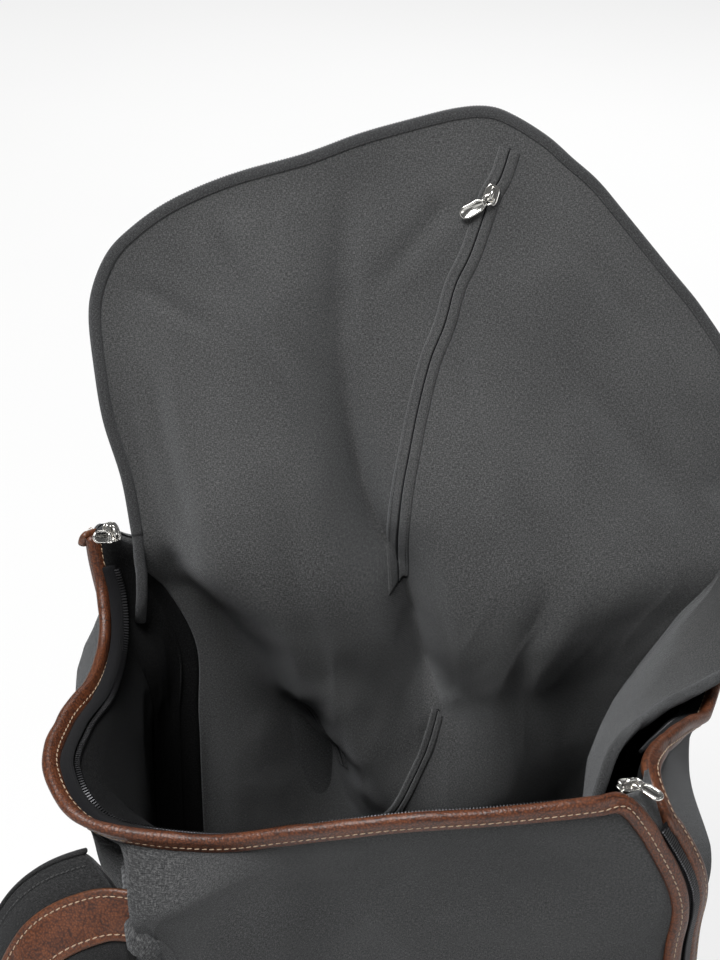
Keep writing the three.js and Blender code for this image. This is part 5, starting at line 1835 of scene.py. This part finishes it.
# ------------------------------------------------------------------ zip sliders and pulls
def plate(outline, thick, bevel, border=0.0):
    """plate with rounded edges from a closed outline; border raises a rim on its upper face"""
    count, steps = len(outline), 4

    def inset(distance):
        along = unit(np.roll(outline, -1, 0) - np.roll(outline, 1, 0))
        return outline + np.stack([-along[:, 1], along[:, 0]], -1) * distance

    layers = []
    for sign, angles in ((-1, np.linspace(0, math.pi / 2, steps)),
                         (1, np.linspace(math.pi / 2, 0, steps))):
        for a in angles:
            layers.append((bevel * (1 - math.sin(a)),
                           sign * (thick / 2 - bevel * (1 - math.cos(a)))))
    if border:
        layers.append((bevel + border, thick / 2))
        layers.append((bevel + border + 0.25, thick / 2 - 0.3))
    verts = np.vstack([np.column_stack([inset(d), np.full(count, z)]) for d, z in layers])
    faces = tube_faces(len(layers), count)
    faces.append(tuple(range(count - 1, -1, -1)))
    faces.append(tuple((len(layers) - 1) * count + i for i in range(count)))
    return verts, faces


def rounded(corners, count):
    """closed outline through the corners, evenly spaced and smoothed"""
    p = np.array(list(corners) + [corners[0]], float)
    length = arc_length(p)
    places = np.linspace(0, length[-1], count, endpoint=False)
    outline = np.stack([np.interp(places, length, p[:, k]) for k in range(2)], -1)
    for _ in range(3):
        outline = (np.roll(outline, 1, 0) + 2 * outline + np.roll(outline, -1, 0)) / 4
    return outline


def mirrored(half):
    """outline symmetric about y = 0 from the points of its lower half"""
    return half + [(x, -y) for x, y in half[::-1]]


def slider_body_mesh():
    """two plates on a post, with a bridge over the top"""
    outline = rounded([(-6, -2.6), (-3, -4.2), (3.5, -4.6), (6, -3.4), (4.6, 0), (6, 3.4),
                       (3.5, 4.6), (-3, 4.2), (-6, 2.6)], 60)
    lower, lower_faces = plate(outline, 1.2, 0.4)
    upper, upper_faces = plate(outline, 1.5, 0.65)
    post, post_faces = plate(rounded([(0.6, 0), (3.6, -1.1), (4.2, 0), (3.6, 1.1)], 24), 3.0, 0.2)
    a = np.linspace(0.0, math.pi, 30)
    bridge = np.stack([4.15 * np.cos(a), 0 * a, 4.0 + 4.3 * np.sin(a)], -1)
    return merge([(lower + vec(0, 0, 0.55), lower_faces), (upper + vec(0, 0, 4.1), upper_faces),
                  (post + vec(0, 0, 2.3), post_faces),
                  sweep_mesh(bridge, vec(0, 1, 0), oval(1.0, 0.62, 12, 2.6))])


def pull_mesh(length):
    """wire loop, a rounded tab with a raised border and the sleeve where it folds round"""
    a = np.linspace(0, 2 * math.pi, 41)
    loop = np.stack([0.9 + 3.2 * np.cos(a), 2.5 * np.sin(a), 0 * a], -1)
    x, half = 3.4, 3.75             # where the tab starts, and its half width
    tab = mirrored([(x, -1.9), (x + 1.8, -2.9), (x + 3.4, -half), (length - 3.4, -half),
                    (length - 1.0, -half * 0.72), (length, -half * 0.25)])
    sleeve = np.array([(x + 0.55, y, 0) for y in np.linspace(-1.7, 1.7, 8)])
    up = vec(0, 0, 1)
    return merge([sweep_mesh(loop, up, oval(0.62, 0.62)),
                  plate(rounded(tab, 88), 1.5, 0.55, border=0.55),
                  sweep_mesh(sleeve, up, oval(1.25, 1.25, 12))])


def slider(name, stem, origin, along, out, leg, turn, tilt, length):
    """slider with its x along the zip and its z out of it. The pull hangs from `leg` (+1 or
    -1) of the way along, turned about z, then tilted about y"""
    along = unit(along)
    out = unit(out - along * (along @ out))
    axes = np.stack([along, np.cross(out, along), out], 1)      # columns x, y, z
    origin = np.asarray(origin, float)
    verts, faces = slider_body_mesh()
    piece = mesh_piece(name + "_slider_body", verts @ axes.T + origin, faces, verts[:, :2], SILVER)
    attach(outward(piece), stem + "_slider", name + "_slider")
    c, s = math.cos(turn), math.sin(turn)
    about_z = np.array([(c, -s, 0), (s, c, 0), (0, 0, 1)])
    c, s = math.cos(tilt), math.sin(tilt)
    about_y = np.array([(c, 0, s), (0, 1, 0), (-s, 0, c)])
    verts, faces = pull_mesh(length)
    placed = verts @ (axes @ about_z @ about_y).T + axes @ vec(leg * 2.5, 0, 6) + origin
    piece = mesh_piece(name + "_pull_tab", placed, faces, verts[:, :2], SILVER)
    attach(outward(piece), stem + "_pull", name + "_pull")


def sliders():
    slider("left", "left_zip", (-163.5, 95, 446), vec(0.25, -0.35, -0.9), vec(0.55, -0.72, 0.42),
           leg=1, turn=-1.9, tilt=-0.1, length=15)
    slider("right", "right_zip", (116, -83, 407), vec(-0.93, -0.32, 0.1), vec(0.05, -0.15, 0.98),
           leg=-1, turn=math.pi * 0.66, tilt=-0.1, length=17)
    place = lid_at(*spline(LID_ZIP, 0.19)[0], 4.5)
    slider("lid_pocket", "lid_zip", place, lid_at(*spline(LID_ZIP, 0.70)[0], 4.5) - place, LID_IN,
           leg=1, turn=-0.7, tilt=0.05, length=19)
    slider("outer_pocket", "pocket_zip", on_pocket_zip(0.06, 0, 7.1),
           on_pocket_zip(0.2, 0, 7.1) - on_pocket_zip(0.04, 0, 7.1),
           wall_normal(POCKET_U0 + 0.3, ZIP_V), leg=-1, turn=math.pi * 0.96, tilt=0.1, length=19)


# ------------------------------------------------------------------ lights, floor, camera
def area_light(name, location, target, size, power):
    """softbox; places and sizes in metres, power in watts"""
    data = bpy.data.lights.new(name, "AREA")
    data.shape = "RECTANGLE"
    data.size, data.size_y = size
    data.energy = power
    light = bpy.data.objects.new(name, data)
    scene.collection.objects.link(light)
    light.location = location
    aim = Vector(target) - Vector(location)
    light.rotation_euler = aim.to_track_quat("-Z", "Y").to_euler()


def lights():
    area_light("key_softbox", (-0.5, -0.5, 2.2), (0.0, 0.05, 0.4), size=(0.9, 0.9), power=52)
    area_light("side_softbox", (1.7, -1.2, 0.5), (0.05, 0.0, 0.25), size=(1.2, 0.7), power=7)
    area_light("fill_softbox", (-1.5, -1.5, 0.8), (0.0, 0.0, 0.3), size=(1.5, 1.2), power=4)
    area_light("back_softbox", (0.3, 2.0, 1.2), (0.0, 0.1, 0.3), size=(1.6, 1.2), power=20)


def world():
    """white to the camera, dim as a light"""
    studio = bpy.data.worlds.new("studio")
    scene.world = studio
    studio.use_nodes = True
    sh = Shader(studio.node_tree)
    seen = sh.add("LightPath").outputs["Is Camera Ray"]
    sh.feed(studio.node_tree.nodes["Background"],
            {"Strength": sh.mix(seen, 0.11, 1.0), "Color": (1, 1, 1, 1)})


def floor():
    bm = bmesh.new()
    bmesh.ops.create_grid(bm, x_segments=8, y_segments=8, size=40)
    mesh = bpy.data.meshes.new("floor")
    bm.to_mesh(mesh)
    bm.free()
    ground = bpy.data.objects.new("floor", mesh)
    scene.collection.objects.link(ground)
    ground.location.z = -0.0012
    material, sh = new_material("floor_pale")
    # plain colour held by the socket beneath the noise link made next
    sh.surface({"Base Color": (0.86, 0.86, 0.855, 1), "Roughness": 0.85})
    cloudy = sh.noise(sh.coords(uv=False), 3.0)
    sh.surface({"Base Color": sh.ramp(cloudy, (0.3, (0.84, 0.84, 0.835)),
                                      (0.7, (0.88, 0.88, 0.875)))})
    # the camera sees it mostly as plain white, with a fifth of its shading
    seen = sh.add("LightPath").outputs["Is Camera Ray"]
    nodes = material.node_tree.nodes
    mixed = sh.add("MixShader", {0: sh.times(seen, 0.8), 1: nodes["Principled BSDF"].outputs[0],
                                 2: sh.add("Emission", {"Strength": 1.0}).outputs[0]})
    sh.feed(nodes["Material Output"], {"Surface": mixed.outputs[0]})
    mesh.materials.append(material)
    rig.stage(ground)


def camera():
    data = bpy.data.cameras.new("camera")
    data.sensor_fit = "HORIZONTAL"
    data.sensor_width = 36
    data.lens = 98.5
    data.clip_start = 0.01
    view = bpy.data.objects.new("camera", data)
    scene.collection.objects.link(view)
    view.location = (-0.020, -0.847, 1.070)
    view.rotation_euler = (math.radians(58), 0, 0)
    scene.camera = view
    scene.view_settings.view_transform = "Standard"
    scene.view_settings.look = "None"


# ------------------------------------------------------------------ CAD pieces still shown
def dress_cad_pieces():
    foam = webbing("foam_cells", (0.02, 0.02, 0.021), (0.05, 0.05, 0.052), pitch=1.1, uv=False)
    by_name = {"lid_handle": LEATHER_FLAT, "back_foam": foam, "base_board": BOARD}
    # the first group with a word in the piece's name gives its material
    by_word = ((("slider", "pull", "lock"), SILVER), (("web",), WEBBING),
               (("leather", "anchor", "patch", "tab", "piping"), LEATHER_FLAT),
               (("teeth",), TEETH), (("tape",), TAPE))
    for name, piece in frame["nodes"].items():
        if piece.hide_render:
            continue
        matches = [m for words, m in by_word if any(word in name for word in words)]
        material = by_name.get(name) or (matches + [CLOTH])[0]
        piece.data.materials.clear()
        piece.data.materials.append(material)


def write_sizes():
    boxes = {"cad": cad_box, "visual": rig.bounds()}
    plain = {key: [[float(x) for x in p] for p in box] for key, box in boxes.items()}
    try:
        with open("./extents.json", "w") as file:
            json.dump(plain, file)
    except OSError:
        pass


wall_panels()
seam_welts()
base()
lid_inner_cloth()
lid_outer_cloth()
lid_fold_seam()
lid_binding()
corner_web()
lid_edge_trim()
cloth_slots()
mouth_lining()
floor_lining()
rim_leathers()
rim_zips()
run_zips()
shoulder_straps()
strap_anchors()
handle()
handle_fittings()
outer_pocket()
pocket_zip()
sliders()
lights()
world()
floor()
camera()
dress_cad_pieces()
write_sizes()
